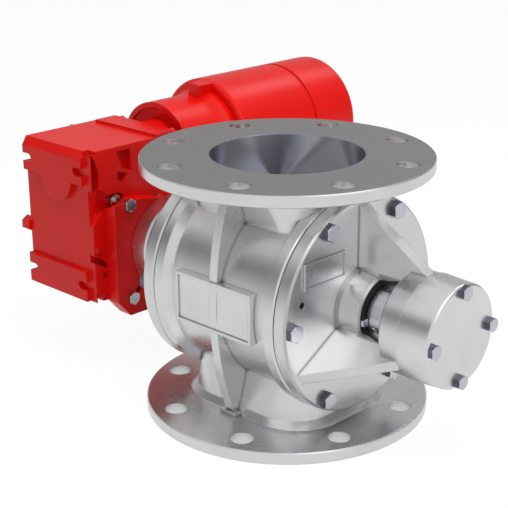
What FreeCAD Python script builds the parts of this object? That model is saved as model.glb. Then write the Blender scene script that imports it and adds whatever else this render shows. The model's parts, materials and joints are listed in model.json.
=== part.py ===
import FreeCAD, Part
import math
import os

# Rotary airlock valve, nominal bore 150 mm, with a right-angle gearmotor.
# Millimetres. Origin at the centre of the outlet flange's lower face, +Z up.
# +X runs along the rotor toward the outboard bearing, +Y along the motor.

# Pipe flanges and overall height
HEIGHT = 260.0
BORE_R = 75.0
FLANGE_R = 142.5
FLANGE_T = 12.0
FLANGE_BOLT_INSET = 22.5
FLANGE_BOLTS = 8
FLANGE_HOLE_R = 11.0

# Clearances
FIT = 0.03
PILOT_FIT = 0.05
TIP_GAP = 0.3
END_GAP = 0.5
HOLE_GAP = 0.5
SHAFT_GAP = 0.8

# Casing, whose round body fills the height between the flanges
RIM_ROOM = 12.0
RIM_STEP = 8.0
BODY_WALL = 10.0
RIM_W = 12.0
RIM_TAPER = 6.0
BODY_HALF = 80.0
NECK_FOOT_X = 10.0
NECK_FOOT_Y = 5.0
NECK_FOOT_RISE = 7.0
NECK_FLANGE_PAST_BODY = 1.0
NECK_FLANGE_HALF_Y = 73.0
NECK_FLANGE_CORNER = 45.0
NECK_BODY_INSET = 10.0
NECK_BODY_HALF_Y = 61.0
NECK_BODY_CORNER = 20.0
NECK_DOWN = 70.0
NECK_ROOT_DOWN = 20.0
PORT_INSET = 21.0
PORT_HALF_Y = 50.0
PORT_CORNER = 12.0
PORT_DOWN = 85.0
PORT_ROOT_DOWN = 30.0
RIB_T = 10.0
RIB_RISE = 4.5
RIB_END_R = 80.0
PAD_INSET = 30.0
PAD_HALF_Z = 25.0
PAD_RISE = 5.5
PAD_ROOT = 20.0
PAD_BORDER = 3.0
PAD_RECESS = 1.5

# End covers with boss, webs and bearing ring
GASKET_T = 1.0
COVER_T = 15.0
SPIGOT_L = 4.0
BOSS_R = 36.0
BOSS_L = 27.0
WEB_T = 12.0
WEB_INSET = 6.0
WEBS = 3
RING_R = 50.0
RING_GAP = 33.0
RING_L = 22.0
RING_LIP = 4.0
RING_BORE_R = 30.0
RING_STEP = 8.0
COVER_BOLTS = 6
COVER_BOLT_INSET = 10.0
COVER_THREAD = 10
COVER_THREAD_REACH = 10.0
JACK_INSET = 20.0
JACK_HOLE_R = 3.5
JACK_ANGLE = 165.0
COVER_PAD_NEAR_INSET = 24.0
COVER_PAD_FAR_Y = -26.0
COVER_PAD_LOW = 36.0
COVER_PAD_TOP_INSET = 45.0
COVER_PAD_T = 2.5
CAP_STEP = 1.0
CAP_L = 34.0
CAP_WALL = 7.0
CAP_TAPER = 1.7
CAP_ROUND = 3.0
PILOT_L = 2.0
CAP_BOLTS = 4
CAP_BOLT_INSET = 7.0
CAP_THREAD = 8
CAP_THREAD_REACH = 12.0
TAP_SPARE = 3.0
EDGE = 1.5

# Rotor and its shaft
VANES = 8
VANE_T = 6.0
VANE_ANGLE = 10.0
HUB_R = 27.0
SHAFT_R = 17.5
JOURNAL_R = 15.0
DRIVE_R = 12.5
SEAL_R = 26.0
SEAL_L = 17.0
SEAL_SEAT = 6.0
COLLAR_R = 25.0
COLLAR_L = 17.0
COLLAR_GAP = 0.5
SHAFT_STUB = 12.0
SHAFT_SHORT = 5.0
JOURNAL_TAIL = 8.0
CIRCLIP_T = 1.6
CIRCLIP_IN = 0.9
CIRCLIP_OUT = 3.0
KEY_FROM = 20.0
KEY_L = 60.0
KEY_W = 8.0
KEY_IN = 4.0
KEY_OUT = 3.0
END_THREAD = 10
END_SCREW_L = 25.0
END_WASHER_T = 4.0

# Rolling bearings: bore radius, outer radius, width, ball radius, balls
SLEEVE_R = 22.5
ROTOR_BEARING = (JOURNAL_R, JOURNAL_R + 16.0, 16.0, 4.6, 9)
OUTPUT_BEARING = (SLEEVE_R, SLEEVE_R + 15.0, 11.0, 4.0, 10)
MOTOR_BEARING = (10.0, 23.5, 14.0, 4.0, 8)
BEARING_RECESS = 2.0

# Gearbox housing
PLATE_T = 18.0
PLATE_UP = 54.0
PLATE_DOWN = 56.0
PLATE_Y = (-70.0, 62.0)
PLATE_BOLT_CIRCLE_R = 73.3
PLATE_BOLT_ANGLES = (135.0, 225.0, 315.0)
PLATE_THREAD = 8
PLATE_BOSS_R = 11.0
PLATE_BOSS_L = 24.0
NUT_T = 6.5
NUT_ROOM_R = 9.0
NUT_ROOM_L = 8.0
RING_SCREW_HEAD_R = 6.5
RING_SCREW_HEAD_L = 8.0
SPARE_HOLE_R = 3.5
SPARE_HOLE_CIRCLE_R = 62.0
SPARE_HOLE_ANGLE = 227.0
BOX_W = 109.0
BOX_FRONT_Y = -90.0
BOX_BACK_Y = 26.0
BOX_DOWN = 54.0
BOX_UP = 110.0
BOX_WALL = 8.0
FOOT_STEP = 5.0
FOOT_T = 10.0
FOOT_PAD_TOP = 27.0
FOOT_PAD_LOW = 33.0
FOOT_SLOT_W = 9.0
FOOT_SLOT_L = 14.0
FOOT_SLOT_UP = 22.0
FOOT_SLOT_DOWN = 17.0
FOOT_SHORT = 10.0
FOOT_BOSS_R = 26.0
FOOT_NOTCH = 12.0
MOTOR_FLANGE_START_Y = 5.0
MOTOR_FLANGE_UP = 3.0
MOTOR_FLANGE_DOWN = 70.0
TOP_CHAMFER = (6.0, 9.0)
SIDE_COVER_T = 8.0
SEAT_BOSS_WALL = 4.5
BUSH_R = 11.0
BUSH_L = 8.0
BUSH_PROUD = 3.0
BUSH_WALL = 4.0
INNER_WALL_Y = (1.0, 7.0)
OIL_SEAL_R = 31.0
OIL_SEAL_L = 5.0
CHANNEL_DEPTH = 14.0
SHELF_DEPTH = 6.0
POCKET_DEPTH = 8.0
WINDOW_DEPTH = 8.0
DRAIN_R = 2.5
PLUG_FLATS = 8.0
PLUG_L = 3.0
FAR_PLUG_FLATS = 15.0
FAR_PLUG_L = 12.0
SIDE_THREAD = 5
SIDE_THREAD_REACH = 10.0
SLEEVE_PROUD = 8.0
TAIL_WALL = 5.0
TAIL_UP = 40.0
WHEEL_ROOM_GAP = 1.4

# Gear train, from the output back to the motor
GEAR_MODULE = 2.0
OUTPUT_TEETH = 42
CROSS_TEETH = 14
BEVEL_MODULE = 1.5
BEVEL_WHEEL_TEETH = 36
BEVEL_PINION_TEETH = 12
STAGE_MODULE = 1.0
STAGE_WHEEL_TEETH = 46
MOTOR_PINION_TEETH = 14
PRESSURE_ANGLE = math.radians(20.0)
BACKLASH = 0.16
ADDENDUM = 0.8
DEDENDUM = 1.1
BEVEL_DEDENDUM = 1.15
BEVEL_INNER_SHARE = 0.68
BEVEL_WHEEL_SHARE = 1.25
BEVEL_RIM = 1.3
BEVEL_PLATE_T = 5.0
BEVEL_HUB_L = 13.0
BEVEL_HUB_WALL = 6.0
WHEEL_KEY_W = 12.0
WHEEL_KEY_OUT = 4.0
WHEEL_KEY_IN = 3.0
CROSS_SHAFT_R = 8.0
PINION_SHAFT_R = 7.0
GEAR_FACE = 14.0
STAGE_FACE = 10.0
STAGE_GAP = 1.5
PINION_BORE_R = 4.5

# Motor and its adapter
MOTOR_BESIDE = 54.0
MOTOR_UP = 76.0
ADAPTER_PLATE_T = 7.0
ADAPTER_PLATE_UP = 3.0
ADAPTER_NECK_R = 36.0
ADAPTER_CUP_R = 55.5
ADAPTER_CUP_WALL = 6.0
ADAPTER_FLARE_L = 28.0
ADAPTER_FLARE_R = 60.0
ADAPTER_RIM_L = 6.0
ADAPTER_SEAT_Y = 12.0
ADAPTER_SEAT_WALL = 10.0
ADAPTER_LUGS = 4
ADAPTER_LUG_W = 16.0
ADAPTER_LUG_L = 22.0
ADAPTER_LUG_ANGLE = 8.0
ADAPTER_THREAD = 8
ADAPTER_THREAD_REACH = 5.0
ADAPTER_SCREW_FAR = 38.0
ADAPTER_SCREW_NEAR = 45.0
ADAPTER_SCREW_DOWN = 26.0
ADAPTER_SCREW_UP = 30.0
ADAPTER_L = 99.0
MOTOR_L = 118.0
MOTOR_R = 70.5
MOTOR_WALL = 8.0
MOTOR_FRONT_T = 6.0
MOTOR_FRONT_ROUND = 6.0
COWL_L = 73.0
COWL_ROUND = 7.0
COWL_WALL = 1.5
STATOR_L = 70.0
WINDING_L = 14.0
MOTOR_SHOULDER = 4.0
MOTOR_SHAFT_GAP = 2.5
MOTOR_SHAFT_TAIL = 42.0
MOTOR_RELIEF = 3.0
SHIELD_T = 6.0
SHIELD_STEP = 3.0
ROTOR_CORE_R = 33.0
AIR_GAP = 0.5
FAN_TIP_GAP = 10.5
FAN_BLADES = 7
FAN_L = 20.0
FAN_BEHIND = 20.0
FAN_HUB_WALL = 6.0
BLADE_T = 2.4
VENT_R = 4.2
TERMINAL_BEHIND = 25.0
TERMINAL_L = 75.0
TERMINAL_DOWN = 40.0
TERMINAL_UP = 10.0
TERMINAL_D = 26.5
TERMINAL_WALL = 4.0
TERMINAL_STEP = 5.0
GLAND_R = 7.0
GLAND_BORE_R = 5.0
GLAND_FLATS = 22.0
GLAND_NUT_T = 6.0
GLAND_L = 14.0

# Hexagon screws: width across flats and head height for each mm of thread
HEX_FLATS = 1.6
HEX_HEAD = 0.65
HEX_TOP = 0.95
HEX_SLOPE = 1.73

# Share of a quarter round by which its middle falls short of the corner
CORNER_SHARE = 1 - math.sqrt(0.5)

# Values worked out from the ones above
AXIS_Z = HEIGHT / 2
FLANGE_BOLT_CIRCLE_R = FLANGE_R - FLANGE_BOLT_INSET
RIM_R = AXIS_Z - FLANGE_T - RIM_ROOM
BODY_R = RIM_R - RIM_STEP
CHAMBER_R = BODY_R - BODY_WALL
NECK_FLANGE_HALF_X = BODY_HALF + NECK_FLANGE_PAST_BODY
NECK_BODY_HALF_X = BODY_HALF - NECK_BODY_INSET
PORT_HALF_X = BODY_HALF - PORT_INSET
PAD_HALF_X = BODY_HALF - PAD_INSET
COVER_BOLT_CIRCLE_R = RIM_R - COVER_BOLT_INSET
JACK_CIRCLE_R = RIM_R - JACK_INSET
CAP_R = RING_R + CAP_STEP
CAP_BOLT_CIRCLE_R = RING_R - CAP_BOLT_INSET
COVER_IN = BODY_HALF + GASKET_T
COVER_OUT = COVER_IN + COVER_T
BOSS_END = COVER_OUT + BOSS_L
RING_START = BOSS_END + RING_GAP
RING_END = RING_START + RING_L
BEARING_START = RING_END - ROTOR_BEARING[2] - BEARING_RECESS
SEAL_START = BOSS_END - SEAL_SEAT
CIRCLIP_X = RING_END - BEARING_RECESS
PLATE_BACK = -RING_END - PLATE_T
ROTOR_HALF = COVER_IN - SPIGOT_L - END_GAP
BOX_X = (PLATE_BACK - BOX_W, PLATE_BACK)
BOX_Z = (AXIS_Z - BOX_DOWN, AXIS_Z + BOX_UP)
MOTOR_X = PLATE_BACK - MOTOR_BESIDE
MOTOR_Z = AXIS_Z + MOTOR_UP
MOTOR_FRONT_Y = BOX_BACK_Y + ADAPTER_L
MOTOR_BACK_Y = MOTOR_FRONT_Y + MOTOR_L
COWL_END_Y = MOTOR_BACK_Y + COWL_L
MOTOR_SHAFT_END_Y = MOTOR_BACK_Y + MOTOR_SHAFT_TAIL
MOTOR_SHOULDER_R = MOTOR_BEARING[0] + MOTOR_SHOULDER
SHIELD_SEAT_Y = MOTOR_BACK_Y + SHIELD_T - MOTOR_BEARING[2]
ADAPTER_FLARE_Y = MOTOR_FRONT_Y - ADAPTER_FLARE_L
ADAPTER_ROOM_R = ADAPTER_CUP_R - ADAPTER_SEAT_WALL
ADAPTER_BEARING_Y = (BOX_BACK_Y + ADAPTER_SEAT_Y, ADAPTER_FLARE_Y + 2.0)
ADAPTER_WEB_END_Y = ADAPTER_BEARING_Y[0] + MOTOR_BEARING[2] + ADAPTER_SEAT_WALL
TERMINAL_Y = (MOTOR_FRONT_Y + TERMINAL_BEHIND, MOTOR_FRONT_Y + TERMINAL_BEHIND + TERMINAL_L)
TERMINAL_Z = (MOTOR_Z - TERMINAL_DOWN, MOTOR_Z + TERMINAL_UP)
TERMINAL_IN_X = MOTOR_X + MOTOR_R + TERMINAL_STEP
TERMINAL_X = TERMINAL_IN_X + TERMINAL_D
FAN_R = MOTOR_R - FAN_TIP_GAP
FAN_HUB_R = MOTOR_BEARING[0] + FAN_HUB_WALL
CROSS_Z = MOTOR_Z - STAGE_MODULE * (STAGE_WHEEL_TEETH + MOTOR_PINION_TEETH) / 2
SPUR_DISTANCE = GEAR_MODULE * (OUTPUT_TEETH + CROSS_TEETH) / 2
CROSS_Y = -math.sqrt(SPUR_DISTANCE ** 2 - (CROSS_Z - AXIS_Z) ** 2)
CAVITY_X = (BOX_X[0] + SIDE_COVER_T, BOX_X[1] - 10.0)
CAVITY_Y = (BOX_FRONT_Y + 24.0, BOX_BACK_Y - 6.0)
CAVITY_Z = (BOX_Z[0] + BOX_WALL, BOX_Z[1] - BOX_WALL)
STAGE_START = CAVITY_Y[1] - STAGE_FACE - STAGE_GAP
OUTPUT_GEAR_X = CAVITY_X[0] + 7.0
SLEEVE_X = (BOX_X[0] - SLEEVE_PROUD, BOX_X[1] + 6.0)
WHEEL_ROOM_R = GEAR_MODULE * (OUTPUT_TEETH / 2 + ADDENDUM) + WHEEL_ROOM_GAP
TAIL_Y = WHEEL_ROOM_R + TAIL_WALL + 1.0
ADAPTER_CUP_Y = TAIL_Y + 1.0
BEVEL_OUTER = BEVEL_MODULE * BEVEL_WHEEL_TEETH / 2
BEVEL_INNER = BEVEL_MODULE * BEVEL_PINION_TEETH / 2
SHELL_IN = MOTOR_R - MOTOR_WALL


def vec(x, y, z):
    return FreeCAD.Vector(x, y, z)


def on_axis(axis, along, at):
    """Point at a distance along one axis and at two places across it."""
    if axis == "x":
        return vec(along, at[0], at[1])
    if axis == "y":
        return vec(at[0], along, at[1])
    return vec(at[0], at[1], along)


def direction(axis):
    return on_axis(axis, 1.0, (0.0, 0.0))


def box(x, y, z):
    return Part.makeBox(x[1] - x[0], y[1] - y[0], z[1] - z[0], vec(x[0], y[0], z[0]))


def rod(axis, start, end, radius, at):
    return Part.makeCylinder(radius, end - start, on_axis(axis, start, at), direction(axis))


def tube(axis, start, end, outer, inner, at):
    return rod(axis, start, end, outer, at).cut(rod(axis, start, end, inner, at))


def turned(axis, at, outline):
    """Solid of revolution; the outline is a list of (along, radius), or of
    ((along, radius) middle, (along, radius) end) where the run is an arc."""
    def place(point):
        across = (at[0], at[1] + point[1])
        return on_axis(axis, point[0], across)

    edges = []
    here = outline[0]
    for step in outline[1:] + [outline[0]]:
        if isinstance(step[0], tuple):
            edges.append(Part.Arc(place(here), place(step[0]), place(step[1])).toShape())
            here = step[1]
        else:
            if step != here:
                edges.append(Part.makeLine(place(here), place(step)))
            here = step
    face = Part.Face(Part.Wire(edges))
    return face.revolve(on_axis(axis, 0.0, at), direction(axis), 360)


def ring_places(count, radius, start=0.0):
    """Places (across, up) spread evenly on a circle round the origin."""
    places = []
    for k in range(count):
        a = math.radians(start + 360.0 * k / count)
        places.append((radius * math.cos(a), radius * math.sin(a)))
    return places


def rotor_places(count, radius, start=0.0):
    """Places (y, z) spread evenly round the rotor axis."""
    return [(y, AXIS_Z + z) for y, z in ring_places(count, radius, start)]


def prism(axis, at, start, end, points):
    """Straight prism along an axis from a polygon of places across it."""
    corners = [on_axis(axis, start, (at[0] + p[0], at[1] + p[1])) for p in points]
    face = Part.Face(Part.makePolygon(corners + [corners[0]]))
    return face.extrude(direction(axis) * (end - start))


def hex_prism(axis, at, start, end, flats):
    return prism(axis, at, start, end, ring_places(6, flats / math.sqrt(3), 30.0))


def hex_screw(axis, at, seat, out, thread, length):
    """Hexagon screw whose head stands on its seat and points along out."""
    flats = HEX_FLATS * thread
    head = HEX_HEAD * thread
    top = seat + out * head
    tip = seat - out * length
    body = hex_prism(axis, at, min(seat, top), max(seat, top), flats)
    narrow = flats / 2 * HEX_TOP
    bevel = Part.makeCone(narrow, narrow + HEX_SLOPE * head, head, on_axis(axis, top, at),
                          direction(axis) * -out)
    body = body.common(bevel)
    return body.fuse(rod(axis, min(seat, tip), max(seat, tip), thread / 2.0 - FIT, at))


def hex_nut(axis, at, start, end, thread):
    return hex_prism(axis, at, start, end, HEX_FLATS * thread).cut(
        rod(axis, start - 1, end + 1, thread / 2.0, at))


def rounded_wire(half_x, half_y, corner, z):
    """Closed rounded rectangle, square to the Z axis."""
    cx = half_x - corner
    cy = half_y - corner
    edges = []
    corners = ((cx, cy, 0), (-cx, cy, 90), (-cx, -cy, 180), (cx, -cy, 270))
    for k, (x, y, turn) in enumerate(corners):
        def rim(degrees, x=x, y=y):
            a = math.radians(degrees)
            return vec(x + corner * math.cos(a), y + corner * math.sin(a), z)
        edges.append(Part.Arc(rim(turn), rim(turn + 45), rim(turn + 90)).toShape())
        nx, ny, nturn = corners[(k + 1) % 4]
        a = math.radians(nturn)
        start = vec(nx + corner * math.cos(a), ny + corner * math.sin(a), z)
        edges.append(Part.makeLine(rim(turn + 90), start))
    return Part.Wire(edges)


def loft(wires):
    return Part.makeLoft(wires, True, True)


def flipped_z(shape):
    return shape.mirror(vec(0, 0, AXIS_Z), vec(0, 0, 1))


def flipped_x(shape):
    return shape.mirror(vec(0, 0, 0), vec(1, 0, 0))


# Casing

def neck():
    """Outside of one throat, from the flange to the round body."""
    start = FLANGE_T - 1.0
    foot = rounded_wire(NECK_FLANGE_HALF_X + NECK_FOOT_X, NECK_FLANGE_HALF_Y + NECK_FOOT_Y,
                        NECK_FLANGE_CORNER + NECK_FOOT_Y, start)
    flange_end = rounded_wire(NECK_FLANGE_HALF_X, NECK_FLANGE_HALF_Y,
                              NECK_FLANGE_CORNER, FLANGE_T + NECK_FOOT_RISE)
    body_end = rounded_wire(NECK_BODY_HALF_X, NECK_BODY_HALF_Y, NECK_BODY_CORNER,
                            AXIS_Z - NECK_DOWN)
    root = rounded_wire(NECK_BODY_HALF_X, NECK_BODY_HALF_Y, NECK_BODY_CORNER,
                        AXIS_Z - NECK_ROOT_DOWN)
    return loft([foot, flange_end, body_end, root])


def passage():
    """Inside of one throat, round at the flange and oblong at the rotor."""
    mouth = rounded_wire(BORE_R, BORE_R, BORE_R - 0.5, 0.0)
    port = rounded_wire(PORT_HALF_X, PORT_HALF_Y, PORT_CORNER, AXIS_Z - PORT_DOWN)
    inside = rounded_wire(PORT_HALF_X, PORT_HALF_Y, PORT_CORNER, AXIS_Z - PORT_ROOT_DOWN)
    return loft([mouth, port, inside])


def pipe_flange():
    edge = 1.0
    return turned("z", (0, 0), [(0, 0), (0, FLANGE_R - edge), (edge, FLANGE_R),
                                (FLANGE_T - edge, FLANGE_R), (FLANGE_T, FLANGE_R - edge),
                                (FLANGE_T, 0)])


def flange_holes():
    top = FLANGE_T + NECK_FOOT_RISE + 1
    places = ring_places(FLANGE_BOLTS, FLANGE_BOLT_CIRCLE_R, 180.0 / FLANGE_BOLTS)
    return [rod("z", -1, top, FLANGE_HOLE_R, at) for at in places]


def rib(side):
    """Bowed rib from flange to flange, square to the rotor axis."""
    x = -RIB_T / 2
    low = vec(x, side * RIB_END_R, FLANGE_T - 1)
    middle = vec(x, side * (BODY_R + RIB_RISE), AXIS_Z)
    high = vec(x, side * RIB_END_R, HEIGHT - FLANGE_T + 1)
    inner_high = vec(x, side * NECK_BODY_HALF_Y, high.z)
    inner_low = vec(x, side * NECK_BODY_HALF_Y, low.z)
    edges = [Part.Arc(low, middle, high).toShape(), Part.makeLine(high, inner_high),
             Part.makeLine(inner_high, inner_low), Part.makeLine(inner_low, low)]
    web = Part.Face(Part.Wire(edges)).extrude(vec(RIB_T, 0, 0))
    foot = box((-RIB_T, RIB_T), (-5.0, 5.0), (FLANGE_T - 1, FLANGE_T + 4))
    foot.translate(vec(0, side * RIB_END_R, 0))
    return [web, foot, flipped_z(foot)]


def casing_pad():
    """Bare raised pad with a border, on the side facing -Y."""
    face = -BODY_R - PAD_RISE
    pad = box((-PAD_HALF_X, PAD_HALF_X), (face, -BODY_R + PAD_ROOT),
              (AXIS_Z - PAD_HALF_Z, AXIS_Z + PAD_HALF_Z))
    inner_x = PAD_HALF_X - PAD_BORDER
    inner_z = PAD_HALF_Z - PAD_BORDER
    panel = box((-inner_x, inner_x), (face - 1, face + PAD_RECESS),
                (AXIS_Z - inner_z, AXIS_Z + inner_z))
    return pad.cut(panel)


def casing():
    rim_start = BODY_HALF - RIM_W
    taper = rim_start - RIM_TAPER
    edge = EDGE
    body = turned("x", (0, AXIS_Z), [
        (-BODY_HALF, 0), (-BODY_HALF, RIM_R - edge), (-BODY_HALF + edge, RIM_R),
        (-rim_start, RIM_R), (-taper, BODY_R), (taper, BODY_R), (rim_start, RIM_R),
        (BODY_HALF - edge, RIM_R), (BODY_HALF, RIM_R - edge), (BODY_HALF, 0)])
    pieces = [neck(), pipe_flange(), casing_pad()] + rib(-1) + rib(1)
    pieces += [flipped_z(neck()), flipped_z(pipe_flange())]
    body = body.multiFuse(pieces)
    body = body.cut(rod("x", -BODY_HALF - 1, BODY_HALF + 1, CHAMBER_R, (0, AXIS_Z)))
    body = body.cut(passage()).cut(flipped_z(passage()))
    holes = flange_holes() + [flipped_z(hole) for hole in flange_holes()]
    bottom = COVER_IN - COVER_THREAD_REACH - TAP_SPARE
    for at in rotor_places(COVER_BOLTS, COVER_BOLT_CIRCLE_R):
        holes.append(rod("x", bottom, BODY_HALF + 1, COVER_THREAD / 2, at))
        holes.append(rod("x", -BODY_HALF - 1, -bottom, COVER_THREAD / 2, at))
    return body.cut(holes)


def cover_gaskets():
    ring = tube("x", BODY_HALF, COVER_IN, RIM_R - EDGE, CHAMBER_R, (0, AXIS_Z))
    for at in rotor_places(COVER_BOLTS, COVER_BOLT_CIRCLE_R):
        ring = ring.cut(rod("x", BODY_HALF - 1, COVER_IN + 1, COVER_THREAD / 2 + HOLE_GAP, at))
    return Part.makeCompound([ring, flipped_x(ring)])


# End covers

def cover_web():
    """One web in the plane of the rotor axis, standing straight up."""
    inside = BOSS_R - 4.0
    top = RIM_R - WEB_INSET
    under = RING_R - RING_STEP
    points = [(COVER_OUT - 1, inside), (COVER_OUT - 1, top), (COVER_OUT, top),
              (RING_END - 3, RING_R), (RING_END - 3, under), (RING_START, under - 2),
              (BOSS_END, inside)]
    corners = [vec(x, -WEB_T / 2, AXIS_Z + r) for x, r in points]
    face = Part.Face(Part.makePolygon(corners + [corners[0]]))
    return face.extrude(vec(0, WEB_T, 0))


def end_cover(pad):
    spigot = COVER_IN - SPIGOT_L
    cover = turned("x", (0, AXIS_Z), [
        (spigot, 0), (spigot, CHAMBER_R - PILOT_FIT), (COVER_IN, CHAMBER_R - PILOT_FIT),
        (COVER_IN, RIM_R - EDGE), (COVER_IN + EDGE, RIM_R), (COVER_OUT - 2, RIM_R),
        (COVER_OUT, RIM_R - 2), (COVER_OUT, BOSS_R + 3), (COVER_OUT + 3, BOSS_R),
        (BOSS_END - 2, BOSS_R), (BOSS_END, BOSS_R - 2), (BOSS_END, 0)])
    ring = turned("x", (0, AXIS_Z), [
        (RING_START, 0), (RING_START, RING_R - 2), (RING_START + 2, RING_R),
        (RING_END - 0.8, RING_R), (RING_END, RING_R - 0.8), (RING_END, 0)])
    pieces = [ring]
    for k in range(WEBS):
        web = cover_web()
        web.rotate(vec(0, 0, AXIS_Z), vec(1, 0, 0), 360.0 * k / WEBS)
        pieces.append(web)
    if pad:
        pieces.append(cover_pad())
    cover = cover.multiFuse(pieces)
    at = (0, AXIS_Z)
    cuts = [rod("x", spigot - 1, RING_START + RING_LIP + 1, SHAFT_R + SHAFT_GAP, at),
            rod("x", SEAL_START, BOSS_END + 1, SEAL_R, at),
            rod("x", BOSS_END + 0.5, RING_START + RING_LIP, RING_BORE_R, at),
            rod("x", BEARING_START, RING_END + 1, ROTOR_BEARING[1], at)]
    for place in rotor_places(COVER_BOLTS, COVER_BOLT_CIRCLE_R):
        cuts.append(rod("x", spigot, COVER_OUT + 1, COVER_THREAD / 2 + HOLE_GAP, place))
    for place in rotor_places(2, JACK_CIRCLE_R, JACK_ANGLE):
        cuts.append(rod("x", COVER_IN - 0.5, COVER_OUT + 1, JACK_HOLE_R, place))
    for place in rotor_places(CAP_BOLTS, CAP_BOLT_CIRCLE_R):
        bottom = RING_END - CAP_THREAD_REACH - TAP_SPARE
        cuts.append(rod("x", bottom, RING_END + 1, CAP_THREAD / 2, place))
    return cover.cut(cuts)


def cover_pad():
    """Bare raised pad on the face of the outboard cover."""
    y = (COVER_PAD_NEAR_INSET - RIM_R, COVER_PAD_FAR_Y)
    z = (AXIS_Z + COVER_PAD_LOW, AXIS_Z + RIM_R - COVER_PAD_TOP_INSET)
    pad = box((COVER_OUT - 1, COVER_OUT + COVER_PAD_T), y, z)
    inset = PAD_BORDER * 0.7
    panel = box((COVER_OUT + COVER_PAD_T - 1.0, COVER_OUT + COVER_PAD_T + 1),
                (y[0] + inset, y[1] - inset), (z[0] + inset, z[1] - inset))
    return pad.cut(panel)


def cover_bolts():
    screws = []
    for at in rotor_places(COVER_BOLTS, COVER_BOLT_CIRCLE_R):
        screws.append(hex_screw("x", at, COVER_OUT, 1, COVER_THREAD, COVER_T + COVER_THREAD_REACH))
    return Part.makeCompound(screws)


def bearing_cap():
    """Closed dome over the outboard bearing, with a short pilot."""
    end = RING_END + CAP_L
    pilot = ROTOR_BEARING[1] - PILOT_FIT
    bore = pilot - 4.0
    rim = CAP_R - CAP_TAPER
    short = CAP_ROUND * CORNER_SHARE
    cap = turned("x", (0, AXIS_Z), [
        (RING_END - PILOT_L, bore), (RING_END - PILOT_L, pilot), (RING_END, pilot), (RING_END, CAP_R),
        (end - CAP_ROUND, rim), ((end - short, rim - short), (end, rim - CAP_ROUND)),
        (end, 0), (end - CAP_WALL, 0), (end - CAP_WALL, bore)])
    for at in rotor_places(CAP_BOLTS, CAP_BOLT_CIRCLE_R):
        cap = cap.cut(rod("x", RING_END - 1, end + 1, CAP_THREAD / 2, at))
    return cap


def bearing_cap_bolts():
    end = RING_END + CAP_L
    screws = []
    for at in rotor_places(CAP_BOLTS, CAP_BOLT_CIRCLE_R):
        screws.append(hex_screw("x", at, end, 1, CAP_THREAD, CAP_L + CAP_THREAD_REACH))
    return Part.makeCompound(screws)


# Rotor

def rotor():
    hub = rod("x", -ROTOR_HALF, ROTOR_HALF, HUB_R, (0, AXIS_Z))
    tip = CHAMBER_R - TIP_GAP
    vanes = []
    for k in range(VANES):
        vane = box((-ROTOR_HALF, ROTOR_HALF), (-VANE_T / 2, VANE_T / 2),
                   (AXIS_Z + HUB_R - 3, AXIS_Z + tip + 2))
        vane.rotate(vec(0, 0, AXIS_Z), vec(1, 0, 0), VANE_ANGLE + 360.0 * k / VANES)
        vanes.append(vane)
    wheel = hub.multiFuse(vanes)
    wheel = wheel.common(rod("x", -ROTOR_HALF, ROTOR_HALF, tip, (0, AXIS_Z)))
    return wheel.cut(rod("x", -ROTOR_HALF - 1, ROTOR_HALF + 1, SHAFT_R, (0, AXIS_Z)))


def rotor_shaft():
    """Stepped shaft, keyed at the drive end and grooved at the other."""
    shoulder = BEARING_START
    end = RING_END + SHAFT_STUB
    groove = CIRCLIP_X
    drive = -RING_END - JOURNAL_TAIL
    tail = SLEEVE_X[0] + SHAFT_SHORT
    shaft = turned("x", (0, AXIS_Z), [
        (tail, 0), (tail, DRIVE_R - 1), (tail + 1, DRIVE_R), (drive, DRIVE_R),
        (drive, JOURNAL_R), (-shoulder, JOURNAL_R), (-shoulder, SHAFT_R),
        (shoulder, SHAFT_R), (shoulder, JOURNAL_R), (groove, JOURNAL_R),
        (groove, JOURNAL_R - CIRCLIP_IN), (groove + CIRCLIP_T, JOURNAL_R - CIRCLIP_IN),
        (groove + CIRCLIP_T, JOURNAL_R), (end - 1, JOURNAL_R), (end, JOURNAL_R - 1), (end, 0)])
    shaft = shaft.cut(output_key())
    return shaft.cut(rod("x", tail - 1, SLEEVE_X[0] + END_SCREW_L, END_THREAD / 2, (0, AXIS_Z)))


def output_key():
    start = SLEEVE_X[0] + KEY_FROM
    return box((start, start + KEY_L), (-KEY_W / 2, KEY_W / 2),
               (AXIS_Z + DRIVE_R - KEY_IN, AXIS_Z + DRIVE_R + KEY_OUT))


def shaft_circlip():
    groove = CIRCLIP_X
    clip = tube("x", groove + FIT, groove + CIRCLIP_T - FIT, JOURNAL_R + CIRCLIP_OUT,
                JOURNAL_R - CIRCLIP_IN, (0, AXIS_Z))
    gap = box((groove, groove + 2), (-2.5, 2.5), (AXIS_Z - JOURNAL_R - 5, AXIS_Z))
    return clip.cut(gap)


def shaft_seal():
    return tube("x", SEAL_START, SEAL_START + SEAL_L, SEAL_R, SHAFT_R + FIT, (0, AXIS_Z))


def shaft_collar():
    start = SEAL_START + SEAL_L + COLLAR_GAP
    return turned("x", (0, AXIS_Z), [
        (start, SHAFT_R), (start, COLLAR_R - 1), (start + 1, COLLAR_R),
        (start + COLLAR_L - 1, COLLAR_R), (start + COLLAR_L, COLLAR_R - 1),
        (start + COLLAR_L, SHAFT_R)])


# Rolling bearings

def bearing(axis, start, at, size):
    """Outer ring, inner ring and balls of one deep-groove bearing."""
    bore, outside, width, ball, count = size
    pitch = (bore + outside) / 2
    end = start + width
    groove = Part.makeTorus(pitch, ball + 0.1, on_axis(axis, start + width / 2, at), direction(axis))
    lip = 0.55 * ball
    outer = tube(axis, start, end, outside, pitch + lip, at).cut(groove)
    inner = tube(axis, start, end, pitch - lip, bore, at).cut(groove)
    balls = []
    for across, up in ring_places(count, pitch):
        centre = on_axis(axis, start + width / 2, (at[0] + across, at[1] + up))
        balls.append(Part.makeSphere(ball, centre))
    return outer, inner, balls


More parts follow.
